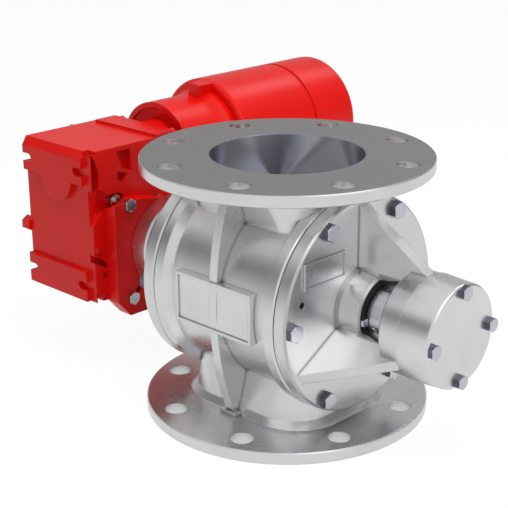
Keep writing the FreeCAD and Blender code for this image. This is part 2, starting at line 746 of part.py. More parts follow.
def bearing_set(axis, starts, at, size):
    """Three compounds for several like bearings: outer rings, inner rings, balls."""
    outers = []
    inners = []
    balls = []
    for start in starts:
        outer, inner, rolling = bearing(axis, start, at, size)
        outers.append(outer)
        inners.append(inner)
        balls += rolling
    return Part.makeCompound(outers), Part.makeCompound(inners), Part.makeCompound(balls)


# Toothed wheels

def involute(angle):
    return math.tan(angle) - angle


def tooth_half_width(module, teeth, height):
    """Half a tooth's width at a height over the pitch line."""
    pitch = module * teeth / 2.0
    base = pitch * math.cos(PRESSURE_ANGLE)
    radius = max(pitch + height, base)
    half = math.pi / (2 * teeth) + involute(PRESSURE_ANGLE) - involute(math.acos(base / radius))
    return (pitch + height) * half - BACKLASH / 2


def toothed_outline(teeth, phase, root, tip):
    """Polygon (across, up); root and tip are (radius, half angle)."""
    points = []
    for k in range(teeth):
        middle = math.radians(phase) + 2 * math.pi * k / teeth
        for radius, turn in ((root[0], -root[1]), (tip[0], -tip[1]), (tip[0], tip[1]), (root[0], root[1])):
            points.append((radius * math.cos(middle + turn), radius * math.sin(middle + turn)))
    return points


def spur_gear(axis, at, start, face, module, teeth, phase):
    addendum = ADDENDUM * module
    dedendum = DEDENDUM * module
    pitch = module * teeth / 2.0
    root = pitch - dedendum
    tip = pitch + addendum
    outline = toothed_outline(teeth, phase,
                              (root, tooth_half_width(module, teeth, -dedendum) / root),
                              (tip, tooth_half_width(module, teeth, addendum) / tip))
    return prism(axis, at, start, start + face, outline)


def bevel_gear(axis, apex, teeth, other_teeth, phase, shares):
    """Bevel teeth between two shares of the cone's depth, measured from its apex."""
    pitch = BEVEL_MODULE * teeth / 2.0
    depth = BEVEL_MODULE * other_teeth / 2.0
    cone = math.atan2(pitch, depth)
    reach = math.hypot(pitch, depth)
    addendum = ADDENDUM * BEVEL_MODULE
    dedendum = BEVEL_DEDENDUM * BEVEL_MODULE
    like_spur = teeth / math.cos(cone)
    levels = []
    for height in (-dedendum, addendum):
        radius = depth * math.tan(cone + math.atan(height / reach))
        width = tooth_half_width(BEVEL_MODULE, like_spur, height)
        levels.append((radius, width / (pitch + height * math.cos(cone))))
    outline = toothed_outline(teeth, phase, levels[0], levels[1])
    wires = []
    for scale in shares:
        corners = [on_axis(axis, apex[0] + depth * scale,
                           (apex[1] + scale * p[0], apex[2] + scale * p[1])) for p in outline]
        wires.append(Part.makePolygon(corners + [corners[0]]))
    return loft(wires)


def output_wheel():
    face = (OUTPUT_GEAR_X, OUTPUT_GEAR_X + GEAR_FACE)
    towards = math.degrees(math.atan2(CROSS_Z - AXIS_Z, CROSS_Y))
    wheel = spur_gear("x", (0, AXIS_Z), face[0], GEAR_FACE, GEAR_MODULE, OUTPUT_TEETH, towards)
    wheel = wheel.cut(rod("x", face[0] - 1, face[1] + 1, SLEEVE_R, (0, AXIS_Z)))
    return wheel.cut(output_wheel_key())


def output_sleeve():
    """Hollow output shaft that takes the rotor shaft's keyed end."""
    sleeve = tube("x", SLEEVE_X[0], SLEEVE_X[1], SLEEVE_R, DRIVE_R + FIT, (0, AXIS_Z))
    half = KEY_W / 2 + FIT
    slot = box((SLEEVE_X[0] - 1, SLEEVE_X[0] + KEY_FROM + KEY_L + 1), (-half, half),
               (AXIS_Z, AXIS_Z + DRIVE_R + KEY_OUT + FIT))
    sleeve = sleeve.cut(slot)
    return sleeve.cut(output_wheel_key())


def output_wheel_key():
    return box((OUTPUT_GEAR_X, OUTPUT_GEAR_X + GEAR_FACE), (-WHEEL_KEY_W / 2, WHEEL_KEY_W / 2),
               (AXIS_Z - SLEEVE_R - WHEEL_KEY_OUT, AXIS_Z - SLEEVE_R + WHEEL_KEY_IN))


def cross_shaft():
    """Shaft between bevel wheel and output wheel, with its own pinion."""
    at = (CROSS_Y, CROSS_Z)
    reach = BUSH_L - BUSH_PROUD - 0.5
    shaft = rod("x", CAVITY_X[0] - reach, CAVITY_X[1] + reach, CROSS_SHAFT_R, at)
    towards = math.degrees(math.atan2(AXIS_Z - CROSS_Z, -CROSS_Y)) + 180.0 / CROSS_TEETH
    pinion = spur_gear("x", at, OUTPUT_GEAR_X, GEAR_FACE, GEAR_MODULE, CROSS_TEETH, towards)
    return shaft.fuse(pinion)


def bevel_wheel():
    at = (CROSS_Y, CROSS_Z)
    apex = (MOTOR_X, CROSS_Y, CROSS_Z)
    rim = BEVEL_OUTER + BEVEL_RIM
    back = MOTOR_X + BEVEL_INNER * BEVEL_WHEEL_SHARE
    teeth = bevel_gear("x", apex, BEVEL_WHEEL_TEETH, BEVEL_PINION_TEETH, 0.0,
                       (BEVEL_WHEEL_SHARE, BEVEL_INNER_SHARE))
    teeth = teeth.common(rod("x", MOTOR_X, back, rim, at))
    plate = rod("x", back, back + BEVEL_PLATE_T, rim, at)
    hub = rod("x", back, back + BEVEL_HUB_L, CROSS_SHAFT_R + BEVEL_HUB_WALL, at)
    wheel = teeth.multiFuse([plate, hub])
    return wheel.cut(rod("x", back - 20, back + 30, CROSS_SHAFT_R, at))


def bevel_pinion_shaft():
    at = (MOTOR_X, CROSS_Z)
    apex = (CROSS_Y, MOTOR_X, CROSS_Z)
    head = CROSS_Y + BEVEL_OUTER
    phase = 180.0 / BEVEL_PINION_TEETH
    teeth = bevel_gear("y", apex, BEVEL_PINION_TEETH, BEVEL_WHEEL_TEETH, phase, (1.0, BEVEL_INNER_SHARE))
    shaft = rod("y", head - 0.5, BOX_BACK_Y - 1.5, PINION_SHAFT_R, at)
    return teeth.fuse(shaft)


def stage_wheel():
    at = (MOTOR_X, CROSS_Z)
    wheel = spur_gear("y", at, STAGE_START, STAGE_FACE, STAGE_MODULE, STAGE_WHEEL_TEETH, 90.0)
    return wheel.cut(rod("y", STAGE_START - 1, STAGE_START + STAGE_FACE + 1, PINION_SHAFT_R, at))


def bushes():
    """Plain bushes of the two inner gear shafts."""
    cross = (CROSS_Y, CROSS_Z)
    pinion = (MOTOR_X, CROSS_Z)
    inner = CROSS_SHAFT_R + FIT
    small = PINION_SHAFT_R + FIT
    return Part.makeCompound([
        tube("x", CAVITY_X[0] + BUSH_PROUD - BUSH_L, CAVITY_X[0] + BUSH_PROUD, BUSH_R, inner, cross),
        tube("x", CAVITY_X[1] - BUSH_PROUD, CAVITY_X[1] - BUSH_PROUD + BUSH_L, BUSH_R, inner, cross),
        tube("y", INNER_WALL_Y[0], INNER_WALL_Y[1], BUSH_R, small, pinion),
        tube("y", CAVITY_Y[1] - 1, BOX_BACK_Y - 1, BUSH_R, small, pinion)])


# Gearbox housing

def foot_face():
    """Foot with two proud pads, open slots and a bevelled top edge."""
    y = (BOX_FRONT_Y, BOX_FRONT_Y + FOOT_STEP + FOOT_T)
    x = (BOX_X[0], BOX_X[1] - FOOT_SHORT)
    foot = box(x, y, BOX_Z)
    middle = box((x[0] - 1, x[1] + 1), (y[0] - 1, y[0] + FOOT_STEP),
                 (BOX_Z[0] + FOOT_PAD_LOW, BOX_Z[1] - TOP_CHAMFER[1] - FOOT_PAD_TOP))
    foot = foot.cut(middle)
    boss = rod("y", y[0], y[0] + FOOT_STEP, FOOT_BOSS_R, (MOTOR_X, MOTOR_Z))
    foot = foot.fuse(boss)
    slots = []
    for z in (BOX_Z[0] + FOOT_SLOT_DOWN, BOX_Z[1] - FOOT_SLOT_UP):
        for edge, inward in ((x[0], 1), (x[1], -1)):
            end = edge + inward * (FOOT_SLOT_L - FOOT_SLOT_W / 2)
            span = (min(edge - inward, end), max(edge - inward, end))
            half = FOOT_SLOT_W / 2
            slots.append(box(span, (y[0] - 1, y[1] + 1), (z - half, z + half)))
            slots.append(rod("y", y[0] - 1, y[1] + 1, half, (end, z)))
    return foot.cut(slots)


def gearbox_block():
    """Outside of the box behind the foot, with its motor flange."""
    x = (BOX_X[0] + SIDE_COVER_T, BOX_X[1])
    front = BOX_FRONT_Y + FOOT_STEP + FOOT_T - 1
    block = box(x, (front, BOX_BACK_Y), BOX_Z)
    neck_block = box(x, (BOX_FRONT_Y + FOOT_STEP, front + 1), BOX_Z)
    flange = box(x, (MOTOR_FLANGE_START_Y, BOX_BACK_Y),
                 (BOX_Z[1] - MOTOR_FLANGE_DOWN, BOX_Z[1] + MOTOR_FLANGE_UP))
    tail = box((x[0], x[1] - 5), (BOX_BACK_Y - 1, TAIL_Y), (BOX_Z[0], AXIS_Z + TAIL_UP))
    ears = [plate_bolt_boss(at) for at in plate_bolt_places()]
    return block.multiFuse([neck_block, flange, tail] + ears)


def plate_bolt_places():
    return [rotor_places(1, PLATE_BOLT_CIRCLE_R, angle)[0] for angle in PLATE_BOLT_ANGLES]


def plate_bolt_boss(at):
    return rod("x", BOX_X[1] - PLATE_BOSS_L, BOX_X[1], PLATE_BOSS_R, at)


def seat_boss(start, end):
    return rod("x", start, end, OUTPUT_BEARING[1] + SEAT_BOSS_WALL, (0, AXIS_Z))


def gearbox_housing():
    body = gearbox_block().fuse(foot_face())
    y = BOX_FRONT_Y
    bevel_cut = [(y - 1, BOX_Z[1] - TOP_CHAMFER[1]), (y, BOX_Z[1] - TOP_CHAMFER[1]),
                 (y + TOP_CHAMFER[0], BOX_Z[1]), (y + TOP_CHAMFER[0], BOX_Z[1] + 1), (y - 1, BOX_Z[1] + 1)]
    body = body.cut(prism("x", (0, 0), BOX_X[0] - 5, BOX_X[1] + 5, bevel_cut))
    cavity = box((BOX_X[0] - 5, CAVITY_X[1]), CAVITY_Y, CAVITY_Z)
    tail = box((BOX_X[0] - 5, CAVITY_X[1]), (CAVITY_Y[1] - 1, TAIL_Y - TAIL_WALL),
               (CAVITY_Z[0], AXIS_Z + TAIL_UP - TAIL_WALL + 1.0))
    wheel_room = rod("x", OUTPUT_GEAR_X - 8, OUTPUT_GEAR_X + GEAR_FACE + 1.5, WHEEL_ROOM_R, (0, AXIS_Z))
    inside = cavity.multiFuse([tail, wheel_room])
    keep = [seat_boss(CAVITY_X[1] - 6, CAVITY_X[1] + 1),
            rod("x", CAVITY_X[1] - 5, CAVITY_X[1] + 1, BUSH_R + BUSH_WALL, (CROSS_Y, CROSS_Z)),
            box((MOTOR_X - BUSH_R - BUSH_PROUD, MOTOR_X + BUSH_R + BUSH_PROUD), INNER_WALL_Y,
                (CROSS_Z - BUSH_R - BUSH_PROUD, CAVITY_Z[1] + 1))]
    keep += [plate_bolt_boss(at) for at in plate_bolt_places()]
    body = body.cut(inside.cut(Part.makeCompound(keep)))
    return body.cut(housing_cuts())


def housing_cuts():
    """Seats, windows, pockets and threads of the gearbox housing."""
    face = BOX_X[1]
    axis = (0, AXIS_Z)
    cross = (CROSS_Y, CROSS_Z)
    cuts = [rod("x", CAVITY_X[1] - 7, face - OIL_SEAL_L, OUTPUT_BEARING[1], axis),
            rod("x", face - OIL_SEAL_L - 1, face + 1, OIL_SEAL_R, axis),
            rod("x", CAVITY_X[1] - 6, CAVITY_X[1] + BUSH_L - BUSH_PROUD, BUSH_R, cross),
            rod("y", INNER_WALL_Y[0] - 1, INNER_WALL_Y[1] + 1, BUSH_R, (MOTOR_X, CROSS_Z)),
            rod("y", CAVITY_Y[1] - 1, BOX_BACK_Y - 1, BUSH_R, (MOTOR_X, CROSS_Z)),
            rod("y", CAVITY_Y[1] - 1, BOX_BACK_Y + 1, 17.0, (MOTOR_X, MOTOR_Z))]
    cuts += side_pockets()
    for at in plate_bolt_places():
        cuts.append(rod("x", face - PLATE_BOSS_L + 2, face + 1, PLATE_THREAD / 2, at))
        cuts.append(rod("x", face - NUT_ROOM_L, face + 1, NUT_ROOM_R, at))
    corner = plate_bolt_places()[0]
    cuts.append(box((face - NUT_ROOM_L, face + 1), (corner[0] - PLATE_BOSS_L, corner[0]),
                    (corner[1] - NUT_ROOM_R, corner[1] + NUT_ROOM_R)))
    bottom = CAVITY_X[0] + SIDE_THREAD_REACH + TAP_SPARE - 1
    for at in side_cover_places():
        cuts.append(rod("x", CAVITY_X[0] - 1, bottom, SIDE_THREAD / 2, at))
    bottom = BOX_BACK_Y - ADAPTER_THREAD_REACH - 0.5
    for at in adapter_screw_places():
        cuts.append(rod("y", bottom, BOX_BACK_Y + 1, ADAPTER_THREAD / 2, at))
    return cuts


def side_pocket(depth, points):
    """Pocket in the side that faces the valve; places are (y, height over the axis)."""
    return prism("x", (0, AXIS_Z), BOX_X[1] - depth, BOX_X[1] + 1, points)


def side_channel():
    """Deep channel behind the foot, with a bowed edge."""
    near = BOX_FRONT_Y + FOOT_STEP + 1
    step = BOX_FRONT_Y + FOOT_STEP + FOOT_T - 1
    x = BOX_X[1] - CHANNEL_DEPTH
    low = vec(x, step, AXIS_Z + BOX_UP - 44)
    middle = vec(x, step + 1, AXIS_Z + BOX_UP - 24)
    high = vec(x, step - 6, AXIS_Z + BOX_UP - 4)
    near_high = vec(x, near, high.z)
    near_low = vec(x, near, low.z)
    edges = [Part.Arc(low, middle, high).toShape(), Part.makeLine(high, near_high),
             Part.makeLine(near_high, near_low), Part.makeLine(near_low, low)]
    return Part.Face(Part.Wire(edges)).extrude(vec(CHANNEL_DEPTH + 1, 0, 0))


def side_pockets():
    front = BOX_FRONT_Y + FOOT_STEP
    ledge = front + FOOT_T - 1
    top = BOX_UP
    return [side_channel(),
            side_pocket(SHELF_DEPTH, [(front - 1, top - 42), (ledge, top - 41), (ledge + 15, top - 51),
                                      (ledge + 17, top - 55), (ledge, top - 68), (front - 1, top - 80)]),
            side_pocket(POCKET_DEPTH, [(front - 1, -1), (ledge + 7, -12), (ledge + 8, -19), (front - 1, -9)]),
            side_pocket(WINDOW_DEPTH, [(-50, top - 5), (-31, top - 5), (-30, top - 29), (-44, top - 24)]),
            side_pocket(SHELF_DEPTH, [(-51, top - 26), (-37, top - 31), (-42, top - 39), (-51, top - 36)]),
            side_pocket(FOOT_NOTCH, [(front + 1, 9 - BOX_DOWN), (ledge, 9 - BOX_DOWN),
                                     (ledge, -BOX_DOWN - 1), (front + 1, -BOX_DOWN - 1)]),
            side_pocket(FOOT_NOTCH, [(front - 1, top + 1), (ledge - 2, top + 1),
                                     (ledge - 2, top - 4), (front - 1, top - 4)]),
            rod("x", BOX_X[1] - FOOT_NOTCH, BOX_X[1] + 1, DRAIN_R, (ledge + 4, AXIS_Z - 26))]


def side_cover_places():
    near = BOX_FRONT_Y + FOOT_STEP + FOOT_T + BOX_WALL / 2
    edge = BOX_WALL / 2
    return [(near, BOX_Z[0] + 2 * BOX_WALL), (near, AXIS_Z + BOX_UP / 4), (near, BOX_Z[1] - 1.5 * BOX_WALL),
            (near + 50, BOX_Z[1] - edge), (BOX_BACK_Y - 3, MOTOR_Z), (near + 70, BOX_Z[0] + edge)]


def adapter_screw_places():
    heights = (MOTOR_Z - ADAPTER_SCREW_DOWN, MOTOR_Z + ADAPTER_SCREW_UP)
    across = (MOTOR_X - ADAPTER_SCREW_FAR, MOTOR_X + ADAPTER_SCREW_NEAR)
    return [(x, z) for x in across for z in heights]


def gearbox_side_cover():
    """Cover on the far side, with the second output seat."""
    x = (BOX_X[0], CAVITY_X[0])
    cover = box(x, (BOX_FRONT_Y + FOOT_STEP + FOOT_T, BOX_BACK_Y), BOX_Z)
    tail = box(x, (BOX_BACK_Y - 1, TAIL_Y), (BOX_Z[0], AXIS_Z + TAIL_UP))
    bush = rod("x", CAVITY_X[0] - 1, CAVITY_X[0] + 5, BUSH_R + BUSH_WALL, (CROSS_Y, CROSS_Z))
    bush = bush.cut(rod("x", CAVITY_X[0] - 1, CAVITY_X[0] + 6, OUTPUT_BEARING[1] + 4, (0, AXIS_Z)))
    cover = cover.multiFuse([tail, seat_boss(SLEEVE_X[0], x[1] + 4), bush])
    cuts = [rod("x", x[0] - 2, x[1] + 5, OUTPUT_BEARING[1], (0, AXIS_Z)),
            rod("x", SLEEVE_X[0] - 1, x[0] - 1, OIL_SEAL_R, (0, AXIS_Z)),
            rod("x", CAVITY_X[0] + BUSH_PROUD - BUSH_L, CAVITY_X[0] + 6, BUSH_R, (CROSS_Y, CROSS_Z))]
    for at in side_cover_places():
        cuts.append(rod("x", x[0] - 1, x[1] + 1, SIDE_THREAD / 2, at))
    return cover.cut(cuts)


def side_cover_screws():
    screws = []
    for at in side_cover_places():
        screws.append(hex_screw("x", at, BOX_X[0], -1, SIDE_THREAD, SIDE_COVER_T + SIDE_THREAD_REACH))
    return Part.makeCompound(screws)


def oil_seals():
    inner = SLEEVE_R + FIT
    return Part.makeCompound([
        tube("x", BOX_X[1] - OIL_SEAL_L, BOX_X[1], OIL_SEAL_R, inner, (0, AXIS_Z)),
        tube("x", SLEEVE_X[0], SLEEVE_X[0] + OIL_SEAL_L + 1, OIL_SEAL_R, inner, (0, AXIS_Z))])


# Torque plate between gearbox and drive-side ring

def torque_plate():
    """Thick plate with a pilot, a low chin and open bolt slots."""
    top = AXIS_Z + PLATE_UP
    low = AXIS_Z - PLATE_DOWN
    near, far = PLATE_Y
    outline = [(near, low + 2), (near, top), (near + 40, top), (far, top - 20),
               (far, low), (far - 42, low - 14), (near + 39, low - 16), (near + 16, low - 16)]
    x = (PLATE_BACK, -RING_END)
    plate = prism("x", (0, 0), x[0], x[1], outline)
    pilot = rod("x", x[1] - 1, x[1] + PILOT_L, ROTOR_BEARING[1] - PILOT_FIT, (0, AXIS_Z))
    plate = plate.fuse(pilot)
    cuts = [rod("x", x[0] - 1, x[1] + 3, ROTOR_BEARING[1] - 5.0, (0, AXIS_Z))]
    for at in plate_bolt_places():
        cuts.append(rod("x", x[0] - 1, x[1] + 1, PLATE_THREAD / 2 + HOLE_GAP, at))
    corner = plate_bolt_places()[0]
    half = PLATE_THREAD / 2 + HOLE_GAP
    cuts.append(box((x[0] - 1, x[1] - 4), (near - 1, corner[0] + half), (corner[1] - half, top + 5)))
    for at in rotor_places(CAP_BOLTS, CAP_BOLT_CIRCLE_R):
        cuts.append(rod("x", x[0] - 1, x[1] + 1, CAP_THREAD / 2, at))
        cuts.append(rod("x", x[0] - 1, x[0] + RING_SCREW_HEAD_L, RING_SCREW_HEAD_R + 0.1, at))
    spare = rotor_places(1, SPARE_HOLE_CIRCLE_R, SPARE_HOLE_ANGLE)[0]
    cuts.append(rod("x", x[0] - 1, x[1] + 1, SPARE_HOLE_R, spare))
    return plate.cut(cuts)


def ring_screws():
    """Socket screws from the plate's back into the drive-side ring."""
    screws = []
    for at in rotor_places(CAP_BOLTS, CAP_BOLT_CIRCLE_R):
        seat = PLATE_BACK + RING_SCREW_HEAD_L
        head = rod("x", PLATE_BACK, seat, RING_SCREW_HEAD_R, at)
        head = head.cut(hex_prism("x", at, PLATE_BACK - 1, seat - 4, 6.0))
        tip = -RING_END + CAP_THREAD_REACH
        screws.append(head.fuse(rod("x", seat, tip, CAP_THREAD / 2 - FIT, at)))
    return Part.makeCompound(screws)


def plate_bolts():
    screws = []
    for at in plate_bolt_places():
        screws.append(hex_screw("x", at, -RING_END, 1, PLATE_THREAD, PLATE_T + 20))
    return Part.makeCompound(screws)


def plate_nuts():
    nuts = []
    for at in plate_bolt_places():
        start = BOX_X[1] - NUT_ROOM_L
        nuts.append(hex_nut("x", at, start, start + NUT_T, PLATE_THREAD))
    return Part.makeCompound(nuts)


def shaft_end_washer():
    return tube("x", SLEEVE_X[0] - END_WASHER_T, SLEEVE_X[0], SLEEVE_R - 1,
                END_THREAD / 2 + HOLE_GAP, (0, AXIS_Z))


def shaft_end_screw():
    return hex_screw("x", (0, AXIS_Z), SLEEVE_X[0] - END_WASHER_T, -1, END_THREAD, END_SCREW_L)


def oil_plugs():
    """Hexagon plugs on the far side of the foot and beside the pockets."""
    y = BOX_FRONT_Y + FOOT_STEP + FOOT_T / 2
    far = hex_prism("x", (y - 1, AXIS_Z + 9), BOX_X[0] - FAR_PLUG_L, BOX_X[0], FAR_PLUG_FLATS)
    near = hex_prism("x", (y, AXIS_Z + 4.6), BOX_X[1], BOX_X[1] + PLUG_L, PLUG_FLATS)
    return Part.makeCompound([far, near])


# Motor

def motor_adapter():
    at = (MOTOR_X, MOTOR_Z)
    plate_end = BOX_BACK_Y + ADAPTER_PLATE_T
    cup_in = ADAPTER_CUP_R - ADAPTER_CUP_WALL
    seat = MOTOR_BEARING[1]
    plate = box((BOX_X[0] + SIDE_COVER_T, BOX_X[1]), (BOX_BACK_Y, plate_end),
                (AXIS_Z + TAIL_UP, BOX_Z[1] + ADAPTER_PLATE_UP))
    rim = MOTOR_FRONT_Y - ADAPTER_RIM_L
    bow = ((ADAPTER_FLARE_Y + rim) / 2, ADAPTER_CUP_R + 1)
    body = turned("y", at, [
        (BOX_BACK_Y + 1, 0), (BOX_BACK_Y + 1, ADAPTER_NECK_R), (ADAPTER_CUP_Y + 6, ADAPTER_NECK_R),
        (ADAPTER_CUP_Y + 3, cup_in), (ADAPTER_CUP_Y, cup_in), (ADAPTER_CUP_Y, ADAPTER_CUP_R),
        (ADAPTER_FLARE_Y, ADAPTER_CUP_R), (bow, (rim, ADAPTER_FLARE_R)),
        (MOTOR_FRONT_Y, ADAPTER_FLARE_R), (MOTOR_FRONT_Y, 0)])
    room = ADAPTER_ROOM_R
    front, rear = ADAPTER_BEARING_Y
    width = MOTOR_BEARING[2]
    hole = MOTOR_BEARING[0] + MOTOR_SHAFT_GAP
    relief = seat - MOTOR_RELIEF
    mouth = motor_mouth()
    inside = turned("y", at, [
        (BOX_BACK_Y - 1, 0), (BOX_BACK_Y - 1, hole), (front, hole), (front, seat), (front + width, seat),
        (front + width, relief), (ADAPTER_WEB_END_Y, relief), (ADAPTER_WEB_END_Y, room),
        (ADAPTER_FLARE_Y, room), (ADAPTER_FLARE_Y, relief), (rear, relief), (rear, seat),
        (rear + width, seat), (rear + width, mouth), (MOTOR_FRONT_Y + 1, mouth), (MOTOR_FRONT_Y + 1, 0)])
    body = body.multiFuse([plate] + adapter_lugs()).cut(inside)
    for place in adapter_screw_places():
        body = body.cut(rod("y", BOX_BACK_Y - 1, plate_end + 1, ADAPTER_THREAD / 2, place))
    return body


def motor_mouth():
    return ADAPTER_FLARE_R - ADAPTER_SEAT_WALL + 1.5


def adapter_lugs():
    """Lugs that join the cup to the motor's front rim."""
    at = (MOTOR_X, MOTOR_Z)
    lugs = []
    for k in range(ADAPTER_LUGS):
        lug = box((at[0] - ADAPTER_LUG_W / 2, at[0] + ADAPTER_LUG_W / 2),
                  (MOTOR_FRONT_Y - ADAPTER_LUG_L, MOTOR_FRONT_Y),
                  (at[1] + motor_mouth() + 1, at[1] + MOTOR_R))
        lug.rotate(vec(at[0], 0, at[1]), vec(0, 1, 0), ADAPTER_LUG_ANGLE + 360.0 * k / ADAPTER_LUGS)
        lugs.append(lug)
    return lugs


def adapter_screws():
    seat = BOX_BACK_Y + ADAPTER_PLATE_T
    screws = []
    for at in adapter_screw_places():
        screws.append(hex_screw("y", at, seat, 1, ADAPTER_THREAD, ADAPTER_PLATE_T + ADAPTER_THREAD_REACH))
    return Part.makeCompound(screws)


def motor_shaft():
    at = (MOTOR_X, MOTOR_Z)
    bore = MOTOR_BEARING[0]
    core = stator_y()
    return turned("y", at, [
        (STAGE_START, 0), (STAGE_START, PINION_BORE_R), (CAVITY_Y[1], PINION_BORE_R), (CAVITY_Y[1], bore),
        (core[0] - 12, bore), (core[0] - 12, MOTOR_SHOULDER_R), (core[1] + 4, MOTOR_SHOULDER_R),
        (core[1] + 4, bore), (MOTOR_SHAFT_END_Y, bore), (MOTOR_SHAFT_END_Y, 0)])


def motor_pinion():
    at = (MOTOR_X, MOTOR_Z)
    phase = 270.0 + 180.0 / MOTOR_PINION_TEETH
    pinion = spur_gear("y", at, STAGE_START, STAGE_FACE, STAGE_MODULE, MOTOR_PINION_TEETH, phase)
    return pinion.cut(rod("y", STAGE_START - 1, STAGE_START + STAGE_FACE + 1, PINION_BORE_R, at))


def stator_y():
    middle = (MOTOR_FRONT_Y + MOTOR_BACK_Y) / 2
    return (middle - STATOR_L / 2, middle + STATOR_L / 2)


def motor_rotor_core():
    core = stator_y()
    return tube("y", core[0], core[1], ROTOR_CORE_R, MOTOR_SHOULDER_R, (MOTOR_X, MOTOR_Z))


def motor_stator():
    core = stator_y()
    return tube("y", core[0], core[1], SHELL_IN, ROTOR_CORE_R + AIR_GAP, (MOTOR_X, MOTOR_Z))


def motor_windings():
    """Winding heads at both ends of the stator."""
    core = stator_y()
    rings = []
    for start, end in ((core[0] - WINDING_L, core[0]), (core[1], core[1] + WINDING_L)):
        rings.append(tube("y", start, end, SHELL_IN - 5, ROTOR_CORE_R + 4, (MOTOR_X, MOTOR_Z)))
    return Part.makeCompound(rings)


def motor_housing():
    at = (MOTOR_X, MOTOR_Z)
    corner = MOTOR_FRONT_ROUND
    short = corner * CORNER_SHARE
    wall_end = MOTOR_FRONT_Y + MOTOR_FRONT_T
    mouth = motor_mouth()
    body = turned("y", at, [
        (MOTOR_FRONT_Y, mouth), (MOTOR_FRONT_Y, MOTOR_R - corner),
        ((MOTOR_FRONT_Y + short, MOTOR_R - short), (MOTOR_FRONT_Y + corner, MOTOR_R)),
        (MOTOR_BACK_Y, MOTOR_R), (MOTOR_BACK_Y, mouth)])
    seat = box((MOTOR_X + SHELL_IN - 20, TERMINAL_IN_X), TERMINAL_Y, TERMINAL_Z)
    return body.fuse(seat).cut(rod("y", wall_end, MOTOR_BACK_Y + 1, SHELL_IN, at))


def motor_rear_shield():
    at = (MOTOR_X, MOTOR_Z)
    seat = MOTOR_BEARING[1]
    inner = MOTOR_BACK_Y + SHIELD_T
    outer = inner + SHIELD_STEP
    hole = MOTOR_BEARING[0] + MOTOR_SHAFT_GAP
    cowl_start = MOTOR_BACK_Y + 4
    return turned("y", at, [
        (MOTOR_BACK_Y, SHELL_IN - 3), (MOTOR_BACK_Y, MOTOR_R - 2), (cowl_start, MOTOR_R - 2),
        (cowl_start, MOTOR_R - COWL_WALL), (outer, MOTOR_R - COWL_WALL),
        (outer, hole), (inner, hole), (inner, seat),
        (SHIELD_SEAT_Y, seat), (SHIELD_SEAT_Y, seat + 5),
        (MOTOR_BACK_Y + 2, seat + 7),
        (MOTOR_BACK_Y + 3, SHELL_IN - 3)])


def fan():
    at = (MOTOR_X, MOTOR_Z)
    start = MOTOR_BACK_Y + FAN_BEHIND
    hub = tube("y", start, start + FAN_L, FAN_HUB_R, MOTOR_BEARING[0], at)
    plate = tube("y", start, start + 2.5, FAN_R - 12, FAN_HUB_R - 1, at)
    blades = []
    for k in range(FAN_BLADES):
        blade = box((at[0] - BLADE_T / 2, at[0] + BLADE_T / 2), (start, start + FAN_L - 2),
                    (at[1] + FAN_HUB_R - 2, at[1] + FAN_R))
        blade.rotate(vec(at[0], 0, at[1]), vec(0, 1, 0), 360.0 * k / FAN_BLADES)
        blades.append(blade)
    return hub.multiFuse([plate] + blades)


def fan_cowl():
    at = (MOTOR_X, MOTOR_Z)
    end = COWL_END_Y
    start = MOTOR_BACK_Y + 4
    diagonal = COWL_ROUND * CORNER_SHARE
    skin = [(start, MOTOR_R - COWL_WALL), (start, MOTOR_R), (end - COWL_ROUND, MOTOR_R),
            ((end - diagonal, MOTOR_R - diagonal), (end, MOTOR_R - COWL_ROUND)), (end, 0),
            (end - COWL_WALL, 0), (end - COWL_WALL, MOTOR_R - COWL_ROUND),
            (end - COWL_ROUND, MOTOR_R - COWL_WALL)]
    cowl = turned("y", at, skin)
    slots = []
    for radius in (MOTOR_R * 0.31, MOTOR_R * 0.51, MOTOR_R * 0.71):
        for x, z in ring_places(8, radius, 22.5):
            slots.append(rod("y", end - 3, end + 1, VENT_R, (at[0] + x, at[1] + z)))
    return cowl.cut(slots)


def terminal_box():
    x = (TERMINAL_IN_X, TERMINAL_X - TERMINAL_WALL)
    shell = box(x, TERMINAL_Y, TERMINAL_Z)
    room = box((x[0] + TERMINAL_WALL, x[1] + 1),
               (TERMINAL_Y[0] + TERMINAL_WALL, TERMINAL_Y[1] - TERMINAL_WALL),
               (TERMINAL_Z[0] + TERMINAL_WALL, TERMINAL_Z[1] - TERMINAL_WALL))
    hole = rod("z", TERMINAL_Z[0] - 1, TERMINAL_Z[0] + TERMINAL_WALL + 1, GLAND_R, gland_place())
    return shell.cut(room).cut(hole)


def gland_place():
    x = (TERMINAL_IN_X + TERMINAL_X - TERMINAL_WALL) / 2
    return (x, (TERMINAL_Y[0] + TERMINAL_Y[1]) / 2)


def terminal_box_lid():
    return box((TERMINAL_X - TERMINAL_WALL, TERMINAL_X), TERMINAL_Y, TERMINAL_Z)


def cable_gland():
    """Open inlet gland under the terminal box; no cord goes through it."""
    middle = gland_place()
    low = TERMINAL_Z[0]
    nut = hex_prism("z", middle, low - GLAND_NUT_T, low, GLAND_FLATS)
    sleeve = rod("z", low - GLAND_L, low + TERMINAL_WALL + 2, GLAND_R - FIT, middle)
    bore = rod("z", low - GLAND_L - 1, low + TERMINAL_WALL + 3, GLAND_BORE_R, middle)
    return nut.fuse(sleeve).cut(bore)


def lid_screws():
    screws = []
    for y in (TERMINAL_Y[0] + 2.5, TERMINAL_Y[1] - 2.5):
        for z in (TERMINAL_Z[0] + 2.5, TERMINAL_Z[1] - 2.5):
            screws.append(rod("x", TERMINAL_X, TERMINAL_X + 2.0, 2.2, (y, z)))
    return Part.makeCompound(screws)


